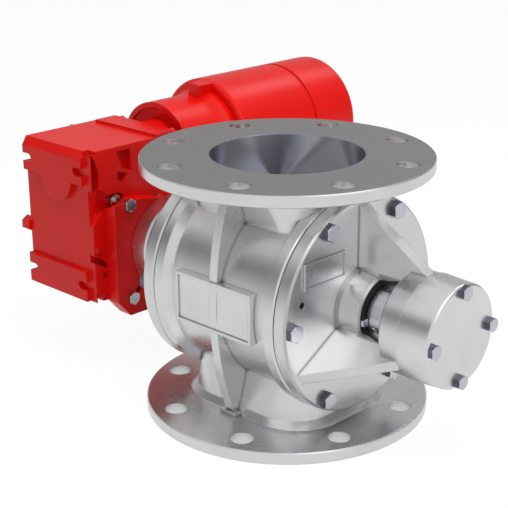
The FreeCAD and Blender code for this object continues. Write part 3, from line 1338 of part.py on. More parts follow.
def build_all():
    cover = end_cover(False)
    rotor_starts = (BEARING_START, -BEARING_START - ROTOR_BEARING[2])
    rotor_rings = bearing_set("x", rotor_starts, (0, AXIS_Z), ROTOR_BEARING)
    output_starts = (BOX_X[1] - OIL_SEAL_L - OUTPUT_BEARING[2], BOX_X[0] - 2)
    output_rings = bearing_set("x", output_starts, (0, AXIS_Z), OUTPUT_BEARING)
    motor_starts = ADAPTER_BEARING_Y + (SHIELD_SEAT_Y,)
    motor_rings = bearing_set("y", motor_starts, (MOTOR_X, MOTOR_Z), MOTOR_BEARING)
    bolts = cover_bolts()
    return {
        "casing": casing(),
        "cover_gaskets": cover_gaskets(),
        "end_cover_outboard": end_cover(True),
        "end_cover_drive": flipped_x(cover),
        "cover_bolts_outboard": bolts,
        "cover_bolts_drive": flipped_x(bolts),
        "rotor": rotor(),
        "rotor_shaft": rotor_shaft(),
        "shaft_circlip": shaft_circlip(),
        "shaft_seal_outboard": shaft_seal(),
        "shaft_seal_drive": flipped_x(shaft_seal()),
        "shaft_collar_outboard": shaft_collar(),
        "shaft_collar_drive": flipped_x(shaft_collar()),
        "rotor_bearing_outer_rings": rotor_rings[0],
        "rotor_bearing_inner_rings": rotor_rings[1],
        "rotor_bearing_balls": rotor_rings[2],
        "bearing_cap": bearing_cap(),
        "bearing_cap_bolts": bearing_cap_bolts(),
        "torque_plate": torque_plate(),
        "ring_screws": ring_screws(),
        "plate_bolts": plate_bolts(),
        "plate_nuts": plate_nuts(),
        "gearbox_housing": gearbox_housing(),
        "gearbox_side_cover": gearbox_side_cover(),
        "side_cover_screws": side_cover_screws(),
        "oil_seals": oil_seals(),
        "oil_plugs": oil_plugs(),
        "gear_shaft_bushes": bushes(),
        "output_sleeve": output_sleeve(),
        "output_key": output_key(),
        "output_wheel": output_wheel(),
        "output_wheel_key": output_wheel_key(),
        "output_bearing_outer_rings": output_rings[0],
        "output_bearing_inner_rings": output_rings[1],
        "output_bearing_balls": output_rings[2],
        "shaft_end_washer": shaft_end_washer(),
        "shaft_end_screw": shaft_end_screw(),
        "cross_shaft": cross_shaft(),
        "bevel_wheel": bevel_wheel(),
        "bevel_pinion_shaft": bevel_pinion_shaft(),
        "stage_wheel": stage_wheel(),
        "motor_adapter": motor_adapter(),
        "adapter_screws": adapter_screws(),
        "motor_pinion": motor_pinion(),
        "motor_shaft": motor_shaft(),
        "motor_bearing_outer_rings": motor_rings[0],
        "motor_bearing_inner_rings": motor_rings[1],
        "motor_bearing_balls": motor_rings[2],
        "motor_rotor_core": motor_rotor_core(),
        "motor_stator": motor_stator(),
        "motor_windings": motor_windings(),
        "motor_housing": motor_housing(),
        "motor_rear_shield": motor_rear_shield(),
        "fan": fan(),
        "fan_cowl": fan_cowl(),
        "terminal_box": terminal_box(),
        "terminal_box_lid": terminal_box_lid(),
        "lid_screws": lid_screws(),
        "cable_gland": cable_gland(),
    }


os.makedirs("parts", exist_ok=True)
for name, shape in build_all().items():
    shape.exportStep("parts/" + name + ".step")
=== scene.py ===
import json
import math

import bmesh
import bpy
from mathutils import Matrix, Vector


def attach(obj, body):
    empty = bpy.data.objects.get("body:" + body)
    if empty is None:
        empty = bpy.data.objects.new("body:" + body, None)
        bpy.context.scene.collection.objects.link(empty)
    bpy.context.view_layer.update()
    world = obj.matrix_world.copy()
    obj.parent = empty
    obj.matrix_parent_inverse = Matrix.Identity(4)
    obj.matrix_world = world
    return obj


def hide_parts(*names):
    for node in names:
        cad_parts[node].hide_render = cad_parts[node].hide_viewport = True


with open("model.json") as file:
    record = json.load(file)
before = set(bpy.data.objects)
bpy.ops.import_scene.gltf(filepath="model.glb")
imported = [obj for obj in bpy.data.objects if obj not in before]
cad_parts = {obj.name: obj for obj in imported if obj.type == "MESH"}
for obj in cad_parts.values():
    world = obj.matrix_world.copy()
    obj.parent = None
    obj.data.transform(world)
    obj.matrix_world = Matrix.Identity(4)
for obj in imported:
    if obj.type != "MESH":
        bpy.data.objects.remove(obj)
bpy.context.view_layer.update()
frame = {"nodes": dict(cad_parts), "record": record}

NODES = frame["nodes"]
RECORD = frame["record"]

# Places from the CAD source, in metres
AXIS_Z = 0.130
BORE_R = 0.0755
BOSS_END = 0.123
RIB_REACH = 0.030
COVER_OUT = 0.096
RIM_R = 0.106
SHAFT_R = 0.0176

# Extent of the chamfers that the cover material darkens with painted shade
ROOT_START = 0.0958
ROOT_END = 0.0986
ROOT_R = 0.0390
BOSS_CHAMFER = 0.0022
RIM_CHAMFER = 0.0026

# Seal, collar, seal lug and set screw, measured in the photograph
SEAL_START = 0.117
SEAL_R = 0.026
SEAT_GAP = 0.0001
LIP_HEIGHT = 0.0075
LIP_T = 0.0006
LIP_STEP = 0.0004
COLLAR_R = 0.0265
COLLAR_START = 0.1245
COLLAR_END = 0.1515
COLLAR_CHAMFER = 0.0008
LUG_FOOT = (0.0036, 0.0021)
LUG_TOP = (0.0029, 0.0016)
LUG_HEIGHT = 0.0066
LUG_ROUND = 0.0004
LUG_X = BOSS_END + 0.0022
LUG_R = COLLAR_R + 0.0008
LUG_ANGLE = -3.0
SCREW_R = 0.0029
SCREW_FOOT = -0.0008
SCREW_TOP = 0.0006
SCREW_CHAMFER = 0.0003
SOCKET_R = 0.0016
SOCKET_FLOOR = 0.0002
SCREW_X = COLLAR_START + 0.0068
SCREW_ANGLE = -20.0

# The camera that was fitted to the photograph's flanges
CAM_AZ = 43.78
CAM_EL = 20.28
CAM_ROLL = -0.13
CAM_DISTANCE = 1.27477
CAM_TARGET = Vector((-0.00707, -0.01752, 0.1398))
CAM_FOCAL_PX = 1293.62
CAM_CENTRE_PX = (269.61, 273.18)
FRAME_PX = 508.0
SENSOR_MM = 36.0

# Levels of the fill, of the mirrored room, and of the painted shade and blue tint on the bore's walls
FILL_LEVEL = 0.38
ROOM_SHADE = 0.76
BORE_SHADE_LEVEL = 0.38
BORE_SHADE_TINT = 0.12

# Half the floor's side, and how far it lies below the part
FLOOR_HALF = 6.0
FLOOR_DROP = 0.0005

# The studio's grey band, seen only in reflections: its arc, the fade of its sides, its tones by height
BAND_R = 3.4
BAND_TOP = 3.4
BAND_FROM = 20.0
BAND_TO = 255.0
BAND_STEPS = 48
LEFT_FADE = (-1.2, 0.6)
RIGHT_FADE = (-0.3, 1.0)
BAND_RIGHT = ((0.0, 0.65), (0.15, 0.30), (0.30, 0.18), (0.50, 0.22), (0.72, 0.45), (0.95, 0.72))
BAND_BACK = ((0.0, 0.47), (0.44, 0.44), (0.70, 0.44), (0.95, 0.60))
BAND_LEFT = ((0.0, 0.65), (0.20, 0.40), (0.38, 0.16), (0.46, 0.16), (0.62, 0.38), (0.82, 0.76))


# Node-tree helpers

def new_material(name):
    """Empty material with its output and one Principled shader."""
    mat = bpy.data.materials.new(name)
    mat.use_nodes = True
    tree = mat.node_tree
    tree.nodes.clear()
    out = tree.nodes.new("ShaderNodeOutputMaterial")
    shader = tree.nodes.new("ShaderNodeBsdfPrincipled")
    tree.links.new(shader.outputs["BSDF"], out.inputs["Surface"])
    return mat, tree, shader


def add(tree, kind, **settings):
    node = tree.nodes.new(kind)
    for key, value in settings.items():
        setattr(node, key, value)
    return node


def noise(tree, coords, scale, detail=3.0, roughness=0.5, distortion=0.0):
    node = add(tree, "ShaderNodeTexNoise")
    node.inputs["Scale"].default_value = scale
    node.inputs["Detail"].default_value = detail
    node.inputs["Roughness"].default_value = roughness
    node.inputs["Distortion"].default_value = distortion
    tree.links.new(coords, node.inputs["Vector"])
    return node.outputs["Fac"]


def span(tree, value, low, high, to_low, to_high):
    """Map a value from one range to another, clamped."""
    node = add(tree, "ShaderNodeMapRange")
    node.inputs["From Min"].default_value = low
    node.inputs["From Max"].default_value = high
    node.inputs["To Min"].default_value = to_low
    node.inputs["To Max"].default_value = to_high
    tree.links.new(value, node.inputs["Value"])
    return node.outputs["Result"]


def mix(tree, factor, a, b):
    """Blend of two colours; the factor is an output or a number."""
    node = add(tree, "ShaderNodeMix", data_type="RGBA")
    for key, value in (("Factor", factor), ("A", a), ("B", b)):
        socket = [s for s in node.inputs if s.name == key and s.enabled][0]
        if isinstance(value, bpy.types.NodeSocket):
            tree.links.new(value, socket)
        else:
            socket.default_value = value
    return [s for s in node.outputs if s.enabled][0]


def mottle(tree, cloud, low, high, spread=0.2):
    """Two colours in soft patches."""
    return mix(tree, span(tree, cloud, 0.5 - spread, 0.5 + spread, 0.0, 1.0), low, high)


def from_here(tree, value, start, width, peak=1.0):
    """0 below a place, rising to the peak over a short width."""
    return span(tree, value, start, start + width, 0.0, peak)


def up_to(tree, value, end, width):
    """1 up to a place, falling to 0 over a short width."""
    return span(tree, value, end, end + width, 1.0, 0.0)


def object_coords(tree):
    return add(tree, "ShaderNodeTexCoord").outputs["Object"]


def object_normal(tree):
    return add(tree, "ShaderNodeTexCoord").outputs["Normal"]


def axis_parts(tree, vector):
    split = add(tree, "ShaderNodeSeparateXYZ")
    tree.links.new(vector, split.inputs["Vector"])
    return split.outputs


def bevel(tree, radius):
    node = add(tree, "ShaderNodeBevel", samples=4)
    node.inputs["Radius"].default_value = radius
    return node.outputs["Normal"]


def bump(tree, height, strength, distance, normal):
    node = add(tree, "ShaderNodeBump")
    node.inputs["Strength"].default_value = strength
    node.inputs["Distance"].default_value = distance
    tree.links.new(height, node.inputs["Height"])
    tree.links.new(normal, node.inputs["Normal"])
    return node.outputs["Normal"]


def math_node(tree, operation, a, b):
    node = add(tree, "ShaderNodeMath", operation=operation)
    for socket, value in ((node.inputs[0], a), (node.inputs[1], b)):
        if isinstance(value, bpy.types.NodeSocket):
            tree.links.new(value, socket)
        else:
            socket.default_value = value
    return node.outputs["Value"]


def absolute(tree, value):
    return math_node(tree, "ABSOLUTE", value, 0.0)


def vector_node(tree, operation, a, b=None):
    """Vector maths; b is an output or a fixed vector."""
    node = add(tree, "ShaderNodeVectorMath", operation=operation)
    tree.links.new(a, node.inputs[0])
    if isinstance(b, bpy.types.NodeSocket):
        tree.links.new(b, node.inputs[1])
    elif b is not None:
        node.inputs[1].default_value = b
    return node.outputs


def seen_directly(tree):
    """1 for camera, glossy and transmission rays, 0 for the rest."""
    path = add(tree, "ShaderNodeLightPath")
    clear = math_node(tree, "MAXIMUM", path.outputs["Is Camera Ray"], path.outputs["Is Transmission Ray"])
    return math_node(tree, "MAXIMUM", clear, path.outputs["Is Glossy Ray"])


def room_light(tree, strength):
    """Strength of the white room, a little dimmer where it is mirrored."""
    path = add(tree, "ShaderNodeLightPath")
    return span(tree, path.outputs["Is Glossy Ray"], 0.0, 1.0, strength, strength * ROOM_SHADE)


def grey(level, tint=0.0):
    return (level, level, level * (1 + tint), 1.0)


def shade(colour, factor):
    return tuple(min(c * factor, 1.0) for c in colour) + (1.0,)


# Materials

def corner_shade_mask(tree):
    """Mask of painted shade: 0 in the tight inside angles of a casting, 1 on its open faces."""
    nearby = add(tree, "ShaderNodeAmbientOcclusion", samples=12, only_local=True)
    nearby.inputs["Distance"].default_value = 0.005
    return span(tree, nearby.outputs["AO"], 0.40, 0.76, 0.0, 1.0)


def chamfer_shade_mask(tree, coords):
    """Mask of painted shade: 1 on the chamfers at the root and the end of a cover's shaft boss, less on the
    cover's rim.
    """
    out = absolute(tree, axis_parts(tree, coords)["X"])
    about = vector_node(tree, "SUBTRACT", coords, (0.0, 0.0, AXIS_Z))["Vector"]
    flat = vector_node(tree, "MULTIPLY", about, (0.0, 1.0, 1.0))["Vector"]
    reach = vector_node(tree, "LENGTH", flat)["Value"]
    root = math_node(tree, "MULTIPLY", from_here(tree, out, ROOT_START, 0.0003),
                     up_to(tree, out, ROOT_END, 0.0008))
    end = from_here(tree, out, BOSS_END - BOSS_CHAMFER, 0.0006, 0.75)
    boss = math_node(tree, "MULTIPLY", up_to(tree, reach, ROOT_R, 0.0008),
                     math_node(tree, "MAXIMUM", root, end))
    around = math_node(tree, "MULTIPLY", from_here(tree, reach, RIM_R - RIM_CHAMFER, 0.0006),
                       up_to(tree, reach, RIM_R + 0.0005, 0.0010))
    rim = from_here(tree, out, COVER_OUT - RIM_CHAMFER, 0.0008, 0.42)
    return math_node(tree, "MAXIMUM", boss, math_node(tree, "MULTIPLY", rim, around))


def pipe_faces(tree, coords):
    """1 on the outer faces of the two pipe flanges, which lie AXIS_Z above and below the shaft."""
    height = math_node(tree, "SUBTRACT", axis_parts(tree, coords)["Z"], AXIS_Z)
    return from_here(tree, absolute(tree, height), AXIS_Z - 0.0006, 0.0003)


def bore_shade_mask(tree, coords):
    """Mask of painted shade: 1 on the walls of the vertical bore, which face its axis."""
    flat = vector_node(tree, "MULTIPLY", coords, (1.0, 1.0, 0.0))["Vector"]
    reach = vector_node(tree, "LENGTH", flat)["Value"]
    outward = vector_node(tree, "DOT_PRODUCT", flat, object_normal(tree))["Value"]
    return math_node(tree, "MULTIPLY", up_to(tree, reach, BORE_R - 0.0002, 0.0008),
                     up_to(tree, outward, -0.004, 0.003))


def rib_flank_shade_mask(tree, coords):
    """Mask of painted shade: 1 on the sides of the casing's ribs, which face along the shaft."""
    middle = up_to(tree, absolute(tree, axis_parts(tree, coords)["X"]), RIB_REACH, 0.001)
    turned = absolute(tree, axis_parts(tree, object_normal(tree))["X"])
    return math_node(tree, "MULTIPLY", from_here(tree, turned, 0.86, 0.11), middle)


def cast_metal(name, level, face_level, rough, edge):
    """Blasted stainless casting; the pipe flanges' outer faces are machined and darker. Painted shade darkens
    the ribs' sides, the bore's walls, the boss and rim chamfers and tight inside angles.
    """
    mat, tree, shader = new_material(name)
    coords = object_coords(tree)
    cloud = noise(tree, coords, 26.0, 4.0, 0.55)
    wave = noise(tree, coords, 60.0, 2.0, 0.5)
    face = pipe_faces(tree, coords)
    cast = mottle(tree, cloud, grey(level * 0.96, 0.01), grey(level * 1.03, 0.01), 0.15)
    # Painted shade: the ribs' sides, picked by the way they face, are darker.
    flank_shaded = mix(tree, rib_flank_shade_mask(tree, coords), cast, grey(level * 0.68, 0.01))
    turned = mottle(tree, cloud, grey(face_level * 0.99), grey(face_level * 1.01), 0.15)
    # Painted shade: the bore's walls get a darker, bluish grey.
    inside = mottle(tree, cloud, grey(BORE_SHADE_LEVEL * 0.97, BORE_SHADE_TINT), grey(BORE_SHADE_LEVEL * 1.03, BORE_SHADE_TINT), 0.15)
    whole = mix(tree, bore_shade_mask(tree, coords), mix(tree, face, flank_shaded, turned), inside)
    # Painted shade on the boss's chamfers and the cover's rim, darkening their bright reflections.
    chamfer_shaded = mix(tree, chamfer_shade_mask(tree, coords), whole, grey(level * 0.42))
    # Painted shade: the cast metal darkens to about a third of its grey in tight inside angles.
    tree.links.new(mix(tree, corner_shade_mask(tree), grey(level * 0.34), chamfer_shaded), shader.inputs["Base Color"])
    finish = span(tree, cloud, 0.3, 0.7, rough - 0.03, rough + 0.03)
    finish = math_node(tree, "ADD", finish, math_node(tree, "MULTIPLY", face, 0.10))
    tree.links.new(finish, shader.inputs["Roughness"])
    shader.inputs["Metallic"].default_value = 1.0
    tree.links.new(bump(tree, wave, 0.03, 0.0008, bevel(tree, edge)), shader.inputs["Normal"])
    return mat


def machined_metal(name, level, rough, axis, pitch, strength=0.10, edge=0.0004):
    """Turned or faced steel: fine marks in rings or lines across an axis."""
    mat, tree, shader = new_material(name)
    coords = object_coords(tree)
    wave = add(tree, "ShaderNodeTexWave", wave_type="RINGS", rings_direction=axis)
    wave.inputs["Scale"].default_value = pitch
    wave.inputs["Distortion"].default_value = 1.2
    wave.inputs["Detail"].default_value = 2.0
    tree.links.new(coords, wave.inputs["Vector"])
    cloud = noise(tree, coords, 18.0, 3.0, 0.5)
    low = grey(level * 0.93, 0.015)
    high = grey(min(level * 1.04, 1.0), 0.015)
    tree.links.new(mottle(tree, cloud, low, high, 0.15), shader.inputs["Base Color"])
    tree.links.new(span(tree, wave.outputs["Fac"], 0.0, 1.0, rough - 0.05, rough + 0.05),
                   shader.inputs["Roughness"])
    shader.inputs["Metallic"].default_value = 1.0
    tree.links.new(bump(tree, wave.outputs["Fac"], strength, 0.00005, bevel(tree, edge)),
                   shader.inputs["Normal"])
    return mat


def bright_steel(name, colour, rough, edge=0.0005):
    """Smooth steel with light scratches and a small tint."""
    mat, tree, shader = new_material(name)
    coords = object_coords(tree)
    marks = noise(tree, coords, 420.0, 3.0, 0.65, 0.4)
    cloud = noise(tree, coords, 70.0, 2.0, 0.5)
    tree.links.new(mottle(tree, cloud, shade(colour, 0.96), shade(colour, 1.03)), shader.inputs["Base Color"])
    tree.links.new(span(tree, marks, 0.3, 0.7, rough - 0.03, rough + 0.03), shader.inputs["Roughness"])
    shader.inputs["Metallic"].default_value = 1.0
    tree.links.new(bump(tree, marks, 0.006, 0.0001, bevel(tree, edge)), shader.inputs["Normal"])
    return mat


def hex_steel(name, face_colour, shaded_flat_colour, rough, edge=0.0004):
    """Bolt heads along the X axis: bright end faces, and smooth flats darkened with painted shade."""
    mat, tree, shader = new_material(name)
    coords = object_coords(tree)
    cloud = noise(tree, coords, 90.0, 2.0, 0.5)
    marks = noise(tree, coords, 260.0, 2.0, 0.5)
    end = from_here(tree, absolute(tree, axis_parts(tree, object_normal(tree))["X"]), 0.25, 0.35)
    face = mottle(tree, cloud, shade(face_colour, 0.93), shade(face_colour, 1.0))
    # Painted shade: the flats take the dark second colour.
    side = mottle(tree, cloud, shade(shaded_flat_colour, 0.6), shade(shaded_flat_colour, 1.0))
    tree.links.new(mix(tree, end, side, face), shader.inputs["Base Color"])
    tree.links.new(span(tree, marks, 0.3, 0.7, rough - 0.04, rough + 0.04), shader.inputs["Roughness"])
    shader.inputs["Metallic"].default_value = 1.0
    tree.links.new(bevel(tree, edge), shader.inputs["Normal"])
    return mat


def gloss_paint(name, colour, edge):
    """Thick red enamel over a casting, with a slight sheen."""
    mat, tree, shader = new_material(name)
    coords = object_coords(tree)
    cloud = noise(tree, coords, 14.0, 3.0, 0.5)
    colours = mottle(tree, cloud, shade(colour, 0.96), shade(colour, 1.04), 0.15)
    tree.links.new(colours, shader.inputs["Base Color"])
    tree.links.new(span(tree, cloud, 0.3, 0.7, 0.30, 0.36), shader.inputs["Roughness"])
    shader.inputs["Specular IOR Level"].default_value = 0.28
    tree.links.new(bevel(tree, edge), shader.inputs["Normal"])
    return mat


def dull(name, colour, rough, scale, edge=0.0004):
    """Rubber, plastic and iron: fine grain and uneven sheen."""
    mat, tree, shader = new_material(name)
    coords = object_coords(tree)
    cloud = noise(tree, coords, 60.0, 3.0, 0.5)
    grain = noise(tree, coords, scale, 2.0, 0.6)
    tree.links.new(mottle(tree, cloud, shade(colour, 0.8), shade(colour, 1.2)), shader.inputs["Base Color"])
    tree.links.new(span(tree, grain, 0.3, 0.7, rough - 0.08, rough + 0.08), shader.inputs["Roughness"])
    tree.links.new(bump(tree, grain, 0.15, 0.0002, bevel(tree, edge)), shader.inputs["Normal"])
    return mat


MATERIALS = {
    "cast_stainless": cast_metal("cast_stainless", 0.77, 0.40, 0.28, 0.0014),
    "cover_casting": cast_metal("cover_casting", 0.75, 0.75, 0.29, 0.0010),
    "machined_stainless": machined_metal("machined_stainless", 0.79, 0.26, "X", 900.0),
    "bolt_stainless": bright_steel("bolt_stainless", (0.62, 0.63, 0.66), 0.20),
    "red_paint": gloss_paint("red_paint", (0.71, 0.004, 0.002), 0.0014),
    "black_rubber": dull("black_rubber", (0.006, 0.006, 0.007), 0.62, 900.0),
    "gasket": dull("gasket", (0.10, 0.10, 0.10), 0.70, 1200.0, 0.0002),
    # Its second colour is the painted shade on the bolt heads' flats.
    "head_steel": hex_steel("head_steel", (0.64, 0.64, 0.71), (0.16, 0.16, 0.20), 0.15),
    "ground_steel": bright_steel("ground_steel", (0.76, 0.74, 0.80), 0.30),
    "bearing_steel": bright_steel("bearing_steel", (0.66, 0.66, 0.68), 0.15),
    "gear_steel": bright_steel("gear_steel", (0.42, 0.42, 0.44), 0.32),
    "bronze": bright_steel("bronze", (0.60, 0.40, 0.18), 0.30),
    "copper_winding": dull("copper_winding", (0.45, 0.16, 0.06), 0.35, 500.0),
    "core_iron": dull("core_iron", (0.16, 0.16, 0.17), 0.50, 700.0),
    "black_plastic": dull("black_plastic", (0.025, 0.025, 0.027), 0.42, 600.0),
}


def repaint(node, mat):
    obj = NODES[node]
    if not obj.material_slots:
        obj.data.materials.append(mat)
    for slot in obj.material_slots:
        slot.material = mat


for part in RECORD["subparts"]:
    repaint(part["node"], MATERIALS[part["material_slot"]])
for node in ("end_cover_outboard", "end_cover_drive"):
    repaint(node, MATERIALS["cover_casting"])
for node in ("cover_bolts_outboard", "cover_bolts_drive", "bearing_cap_bolts"):
    repaint(node, MATERIALS["head_steel"])


# Seals and collars on the shaft, finer than the CAD's

def link_piece(name, shape, mat_names, smooth=True):
    mesh = bpy.data.meshes.new(name)
    bmesh.ops.recalc_face_normals(shape, faces=shape.faces)
    shape.to_mesh(mesh)
    shape.free()
    piece = bpy.data.objects.new(name, mesh)
    bpy.context.scene.collection.objects.link(piece)
    for mat_name in mat_names:
        mesh.materials.append(MATERIALS[mat_name])
    if smooth:
        for face in mesh.polygons:
            face.use_smooth = True
        mesh.set_sharp_from_angle(angle=math.radians(30))
    return piece


def bridge_rings(shape, a, b):
    """Wall of four-sided faces between two rings of vertices."""
    for k in range(len(a)):
        n = (k + 1) % len(a)
        shape.faces.new((a[k], a[n], b[n], b[k]))


def turned_piece(name, profile, side, mat_name, steps=96):
    """Ring around the shaft; side is 1 outboard and -1 at the drive end."""
    shape = bmesh.new()
    rings = []
    for x, r in profile:
        ring = []
        for k in range(steps):
            turn = 2 * math.pi * k / steps
            ring.append(shape.verts.new((side * x, r * math.cos(turn), AXIS_Z + r * math.sin(turn))))
        rings.append(ring)
    for a, b in zip(rings, rings[1:] + rings[:1]):
        bridge_rings(shape, a, b)
    return link_piece(name, shape, [mat_name])


def seal_profile():
    """Seal in its bore, with a flat lip over the boss's end face and slightly rounded edges."""
    back = BOSS_END + SEAT_GAP
    lip = back + LIP_T
    front = lip + LIP_STEP
    top = SEAL_R + LIP_HEIGHT
    return [(SEAL_START, SHAFT_R), (SEAL_START, SEAL_R), (back, SEAL_R),
            (back, top - 0.0005), (back + 0.0003, top), (lip, top - 0.0003),
            (lip, SEAL_R + 0.0010), (front, SEAL_R), (front, SHAFT_R)]


def collar_profile():
    low = COLLAR_R - COLLAR_CHAMFER
    return [(COLLAR_START, SHAFT_R), (COLLAR_START, low), (COLLAR_START + COLLAR_CHAMFER, COLLAR_R),
            (COLLAR_END - COLLAR_CHAMFER, COLLAR_R), (COLLAR_END, low), (COLLAR_END, SHAFT_R)]


def radial_frame(side, x, r, angle):
    """Placement with X across, Y along the shaft and Z outward from the axis."""
    turn = math.radians(angle)
    out = Vector((0.0, -math.cos(turn), math.sin(turn)))
    along = Vector((side, 0.0, 0.0))
    across = along.cross(out)
    at = Vector((side * x, 0.0, AXIS_Z)) + out * r
    rows = Matrix((across, along, out)).transposed().to_4x4()
    return Matrix.Translation(at) @ rows


def seal_lug(side, name):
    """Small tapered lug of the seal's clamp, across its face."""
    shape = bmesh.new()
    rings = []
    for (half_x, half_y), z in ((LUG_FOOT, 0.0), (LUG_TOP, LUG_HEIGHT)):
        rings.append([shape.verts.new((sx * half_x, sy * half_y, z))
                      for sx, sy in ((-1, -1), (1, -1), (1, 1), (-1, 1))])
    shape.faces.new(rings[0][::-1])
    shape.faces.new(rings[1])
    bridge_rings(shape, rings[0], rings[1])
    bmesh.ops.bevel(shape, geom=list(shape.edges), offset=LUG_ROUND, segments=3, affect="EDGES")
    bmesh.ops.transform(shape, matrix=radial_frame(side, LUG_X, LUG_R, LUG_ANGLE), verts=shape.verts)
    return link_piece(name, shape, ["ground_steel"])


def flat_ring(shape, turns, radii, z):
    """Ring of vertices at one height."""
    return [shape.verts.new((r * math.cos(turn), r * math.sin(turn), z)) for turn, r in zip(turns, radii)]


def set_screw(side, name, steps=24):
    """Socket set screw standing a little out of the collar; its shallow socket is black as painted shade."""
    shape = bmesh.new()
    turns = [2 * math.pi * k / steps for k in range(steps)]
    hexagon = [SOCKET_R / math.cos((turn % (math.pi / 3)) - math.pi / 6) for turn in turns]
    rings = []
    for r, z in ((SCREW_R, SCREW_FOOT), (SCREW_R, SCREW_TOP - SCREW_CHAMFER),
                 (SCREW_R - SCREW_CHAMFER, SCREW_TOP)):
        rings.append(flat_ring(shape, turns, [r] * steps, z))
    for z in (SCREW_TOP, SOCKET_FLOOR):
        rings.append(flat_ring(shape, turns, hexagon, z))
    for a, b in zip(rings, rings[1:]):
        bridge_rings(shape, a, b)
    bottom = shape.faces.new(rings[-1])
    # Painted shade: the socket's floor and walls take the black material.
    bottom.material_index = 1
    for edge in bottom.edges:
        for wall in edge.link_faces:
            wall.material_index = 1
    shape.faces.new(rings[0][::-1])
    bmesh.ops.transform(shape, matrix=radial_frame(side, SCREW_X, COLLAR_R, SCREW_ANGLE), verts=shape.verts)
    return link_piece(name, shape, ["ground_steel", "black_plastic"])


def add_shaft_pieces():
    for side, end in ((1.0, "outboard"), (-1.0, "drive")):
        seal = turned_piece("seal_lip_" + end, seal_profile(), side, "black_rubber")
        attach(seal, "valve_body")
        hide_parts("shaft_seal_" + end)
        collar = turned_piece("collar_" + end, collar_profile(), side, "ground_steel")
        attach(collar, "rotor_unit")
        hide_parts("shaft_collar_" + end)
        lug = seal_lug(side, "seal_lug_" + end)
        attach(lug, "valve_body")
        screw = set_screw(side, "collar_screw_" + end)
        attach(screw, "rotor_unit")


add_shaft_pieces()


# Floor, world and lights

def floor_material():
    """White floor: mostly its own white to the camera and in reflections."""
    mat, tree, shader = new_material("floor_white")
    coords = object_coords(tree)
    cloud = noise(tree, coords, 2.0, 3.0, 0.5)
    tree.links.new(mix(tree, cloud, grey(0.86), grey(0.90)), shader.inputs["Base Color"])
    shader.inputs["Roughness"].default_value = 0.7
    glow = add(tree, "ShaderNodeEmission")
    tree.links.new(room_light(tree, 1.04), glow.inputs["Strength"])
    blend = add(tree, "ShaderNodeMixShader")
    tree.links.new(math_node(tree, "MULTIPLY", seen_directly(tree), 0.9), blend.inputs["Fac"])
    out = [n for n in tree.nodes if n.type == "OUTPUT_MATERIAL"][0]
    tree.links.new(shader.outputs["BSDF"], blend.inputs[1])
    tree.links.new(glow.outputs["Emission"], blend.inputs[2])
    tree.links.new(blend.outputs["Shader"], out.inputs["Surface"])
    mat.cycles.emission_sampling = "NONE"
    return mat


def add_floor():
    mesh = bpy.data.meshes.new("floor")
    shape = bmesh.new()
    bmesh.ops.create_grid(shape, x_segments=8, y_segments=8, size=FLOOR_HALF)
    shape.to_mesh(mesh)
    shape.free()
    floor = bpy.data.objects.new("floor", mesh)
    bpy.context.scene.collection.objects.link(floor)
    floor.location = (0.0, 0.0, -FLOOR_DROP)
    mesh.materials.append(floor_material())


def add_world():
    """White to the camera and in reflections; an even fill for the rest."""
    world = bpy.data.worlds.new("studio")
    bpy.context.scene.world = world
    world.use_nodes = True
    tree = world.node_tree
    tree.nodes.clear()
    fill = add(tree, "ShaderNodeBackground")
    fill.inputs["Color"].default_value = grey(0.80)
    fill.inputs["Strength"].default_value = FILL_LEVEL
    white = add(tree, "ShaderNodeBackground")
    white.inputs["Color"].default_value = grey(1.0)
    tree.links.new(room_light(tree, 1.0), white.inputs["Strength"])
    choose = add(tree, "ShaderNodeMixShader")
    tree.links.new(seen_directly(tree), choose.inputs["Fac"])
    tree.links.new(fill.outputs["Background"], choose.inputs[1])
    tree.links.new(white.outputs["Background"], choose.inputs[2])
    out = add(tree, "ShaderNodeOutputWorld")
    tree.links.new(choose.outputs["Shader"], out.inputs["Surface"])
    world.cycles.sampling_method = "NONE"


def tone_ramp(tree, value, tones):
    ramp = add(tree, "ShaderNodeValToRGB")
    ramp.color_ramp.interpolation = "EASE"
    stops = ramp.color_ramp.elements
    for n, (place, tone) in enumerate(tones):
        stop = stops[n] if n < 2 else stops.new(place)
        stop.position = place
        stop.color = grey(tone)
    tree.links.new(value, ramp.inputs["Fac"])
    return ramp.outputs["Color"]


def band_material():
    """Grey studio cards: an even one behind and one at each side, darkest at mid height."""
    mat = bpy.data.materials.new("band")
    mat.use_nodes = True
    tree = mat.node_tree
    tree.nodes.clear()
    parts = axis_parts(tree, object_coords(tree))
    height = span(tree, parts["Z"], 0.0, BAND_TOP, 0.0, 1.0)
    left = span(tree, parts["Y"], LEFT_FADE[0], LEFT_FADE[1], 1.0, 0.0)
    right = span(tree, parts["X"], RIGHT_FADE[0], RIGHT_FADE[1], 0.0, 1.0)
    tone = mix(tree, left, tone_ramp(tree, height, BAND_BACK), tone_ramp(tree, height, BAND_LEFT))
    tone = mix(tree, right, tone, tone_ramp(tree, height, BAND_RIGHT))
    glow = add(tree, "ShaderNodeEmission")
    tree.links.new(tone, glow.inputs["Color"])
    out = add(tree, "ShaderNodeOutputMaterial")
    tree.links.new(glow.outputs["Emission"], out.inputs["Surface"])
    mat.cycles.emission_sampling = "NONE"
    return mat


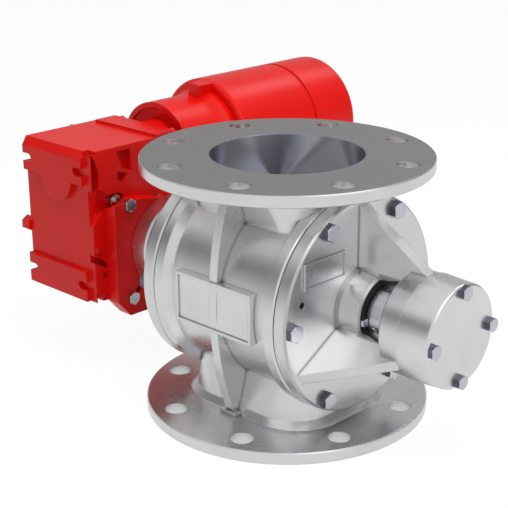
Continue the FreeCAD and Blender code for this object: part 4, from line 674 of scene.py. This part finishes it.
def add_band():
    """Curved card around the back and both sides, as a studio's grey flags."""
    mesh = bpy.data.meshes.new("band")
    shape = bmesh.new()
    last = None
    for k in range(BAND_STEPS + 1):
        turn = math.radians(BAND_FROM + (BAND_TO - BAND_FROM) * k / BAND_STEPS)
        x, y = BAND_R * math.cos(turn), BAND_R * math.sin(turn)
        pair = [shape.verts.new((x, y, z)) for z in (0.0, BAND_TOP)]
        if last:
            shape.faces.new((last[0], pair[0], pair[1], last[1]))
        last = pair
    shape.to_mesh(mesh)
    shape.free()
    band = bpy.data.objects.new("band", mesh)
    bpy.context.scene.collection.objects.link(band)
    mesh.materials.append(band_material())
    band.visible_camera = False
    band.visible_diffuse = False
    band.visible_shadow = False


def add_area(name, place, target, size, watts, mirrored=False):
    light = bpy.data.lights.new(name, "AREA")
    light.shape = "RECTANGLE"
    light.size, light.size_y = size
    light.energy = watts
    lamp = bpy.data.objects.new(name, light)
    bpy.context.scene.collection.objects.link(lamp)
    lamp.location = place
    aim = Vector(target) - Vector(place)
    lamp.rotation_euler = aim.to_track_quat("-Z", "Y").to_euler()
    lamp.visible_glossy = mirrored


def add_lights():
    middle = (-0.05, 0.05, 0.13)
    add_area("key_top", (0.2, -0.3, 1.7), middle, (1.2, 1.2), 19.0)
    add_area("key_right", (1.45, 0.07, 1.55), middle, (1.7, 2.0), 10.0, mirrored=True)
    add_area("rim_back", (-0.35, 2.3, 2.5), middle, (0.8, 0.7), 6.0, mirrored=True)
    add_area("fill_front", (1.95, -0.25, 0.60), middle, (0.8, 0.8), 7.0)


def add_camera():
    az = math.radians(CAM_AZ)
    el = math.radians(CAM_EL)
    back = Vector((math.sin(az) * math.cos(el), -math.cos(az) * math.cos(el), math.sin(el)))
    data = bpy.data.cameras.new("photo_camera")
    data.sensor_width = SENSOR_MM
    data.lens = CAM_FOCAL_PX * SENSOR_MM / FRAME_PX
    data.shift_x = -(CAM_CENTRE_PX[0] - FRAME_PX / 2) / FRAME_PX
    data.shift_y = (CAM_CENTRE_PX[1] - FRAME_PX / 2) / FRAME_PX
    camera = bpy.data.objects.new("photo_camera", data)
    bpy.context.scene.collection.objects.link(camera)
    turn = (-back).to_track_quat("-Z", "Y").to_matrix().to_4x4()
    roll = Matrix.Rotation(math.radians(CAM_ROLL), 4, "Z")
    camera.matrix_world = Matrix.Translation(CAM_TARGET + back * CAM_DISTANCE) @ turn @ roll
    bpy.context.scene.camera = camera


add_floor()
add_world()
add_band()
add_lights()
add_camera()
bpy.context.scene.view_settings.view_transform = "Standard"
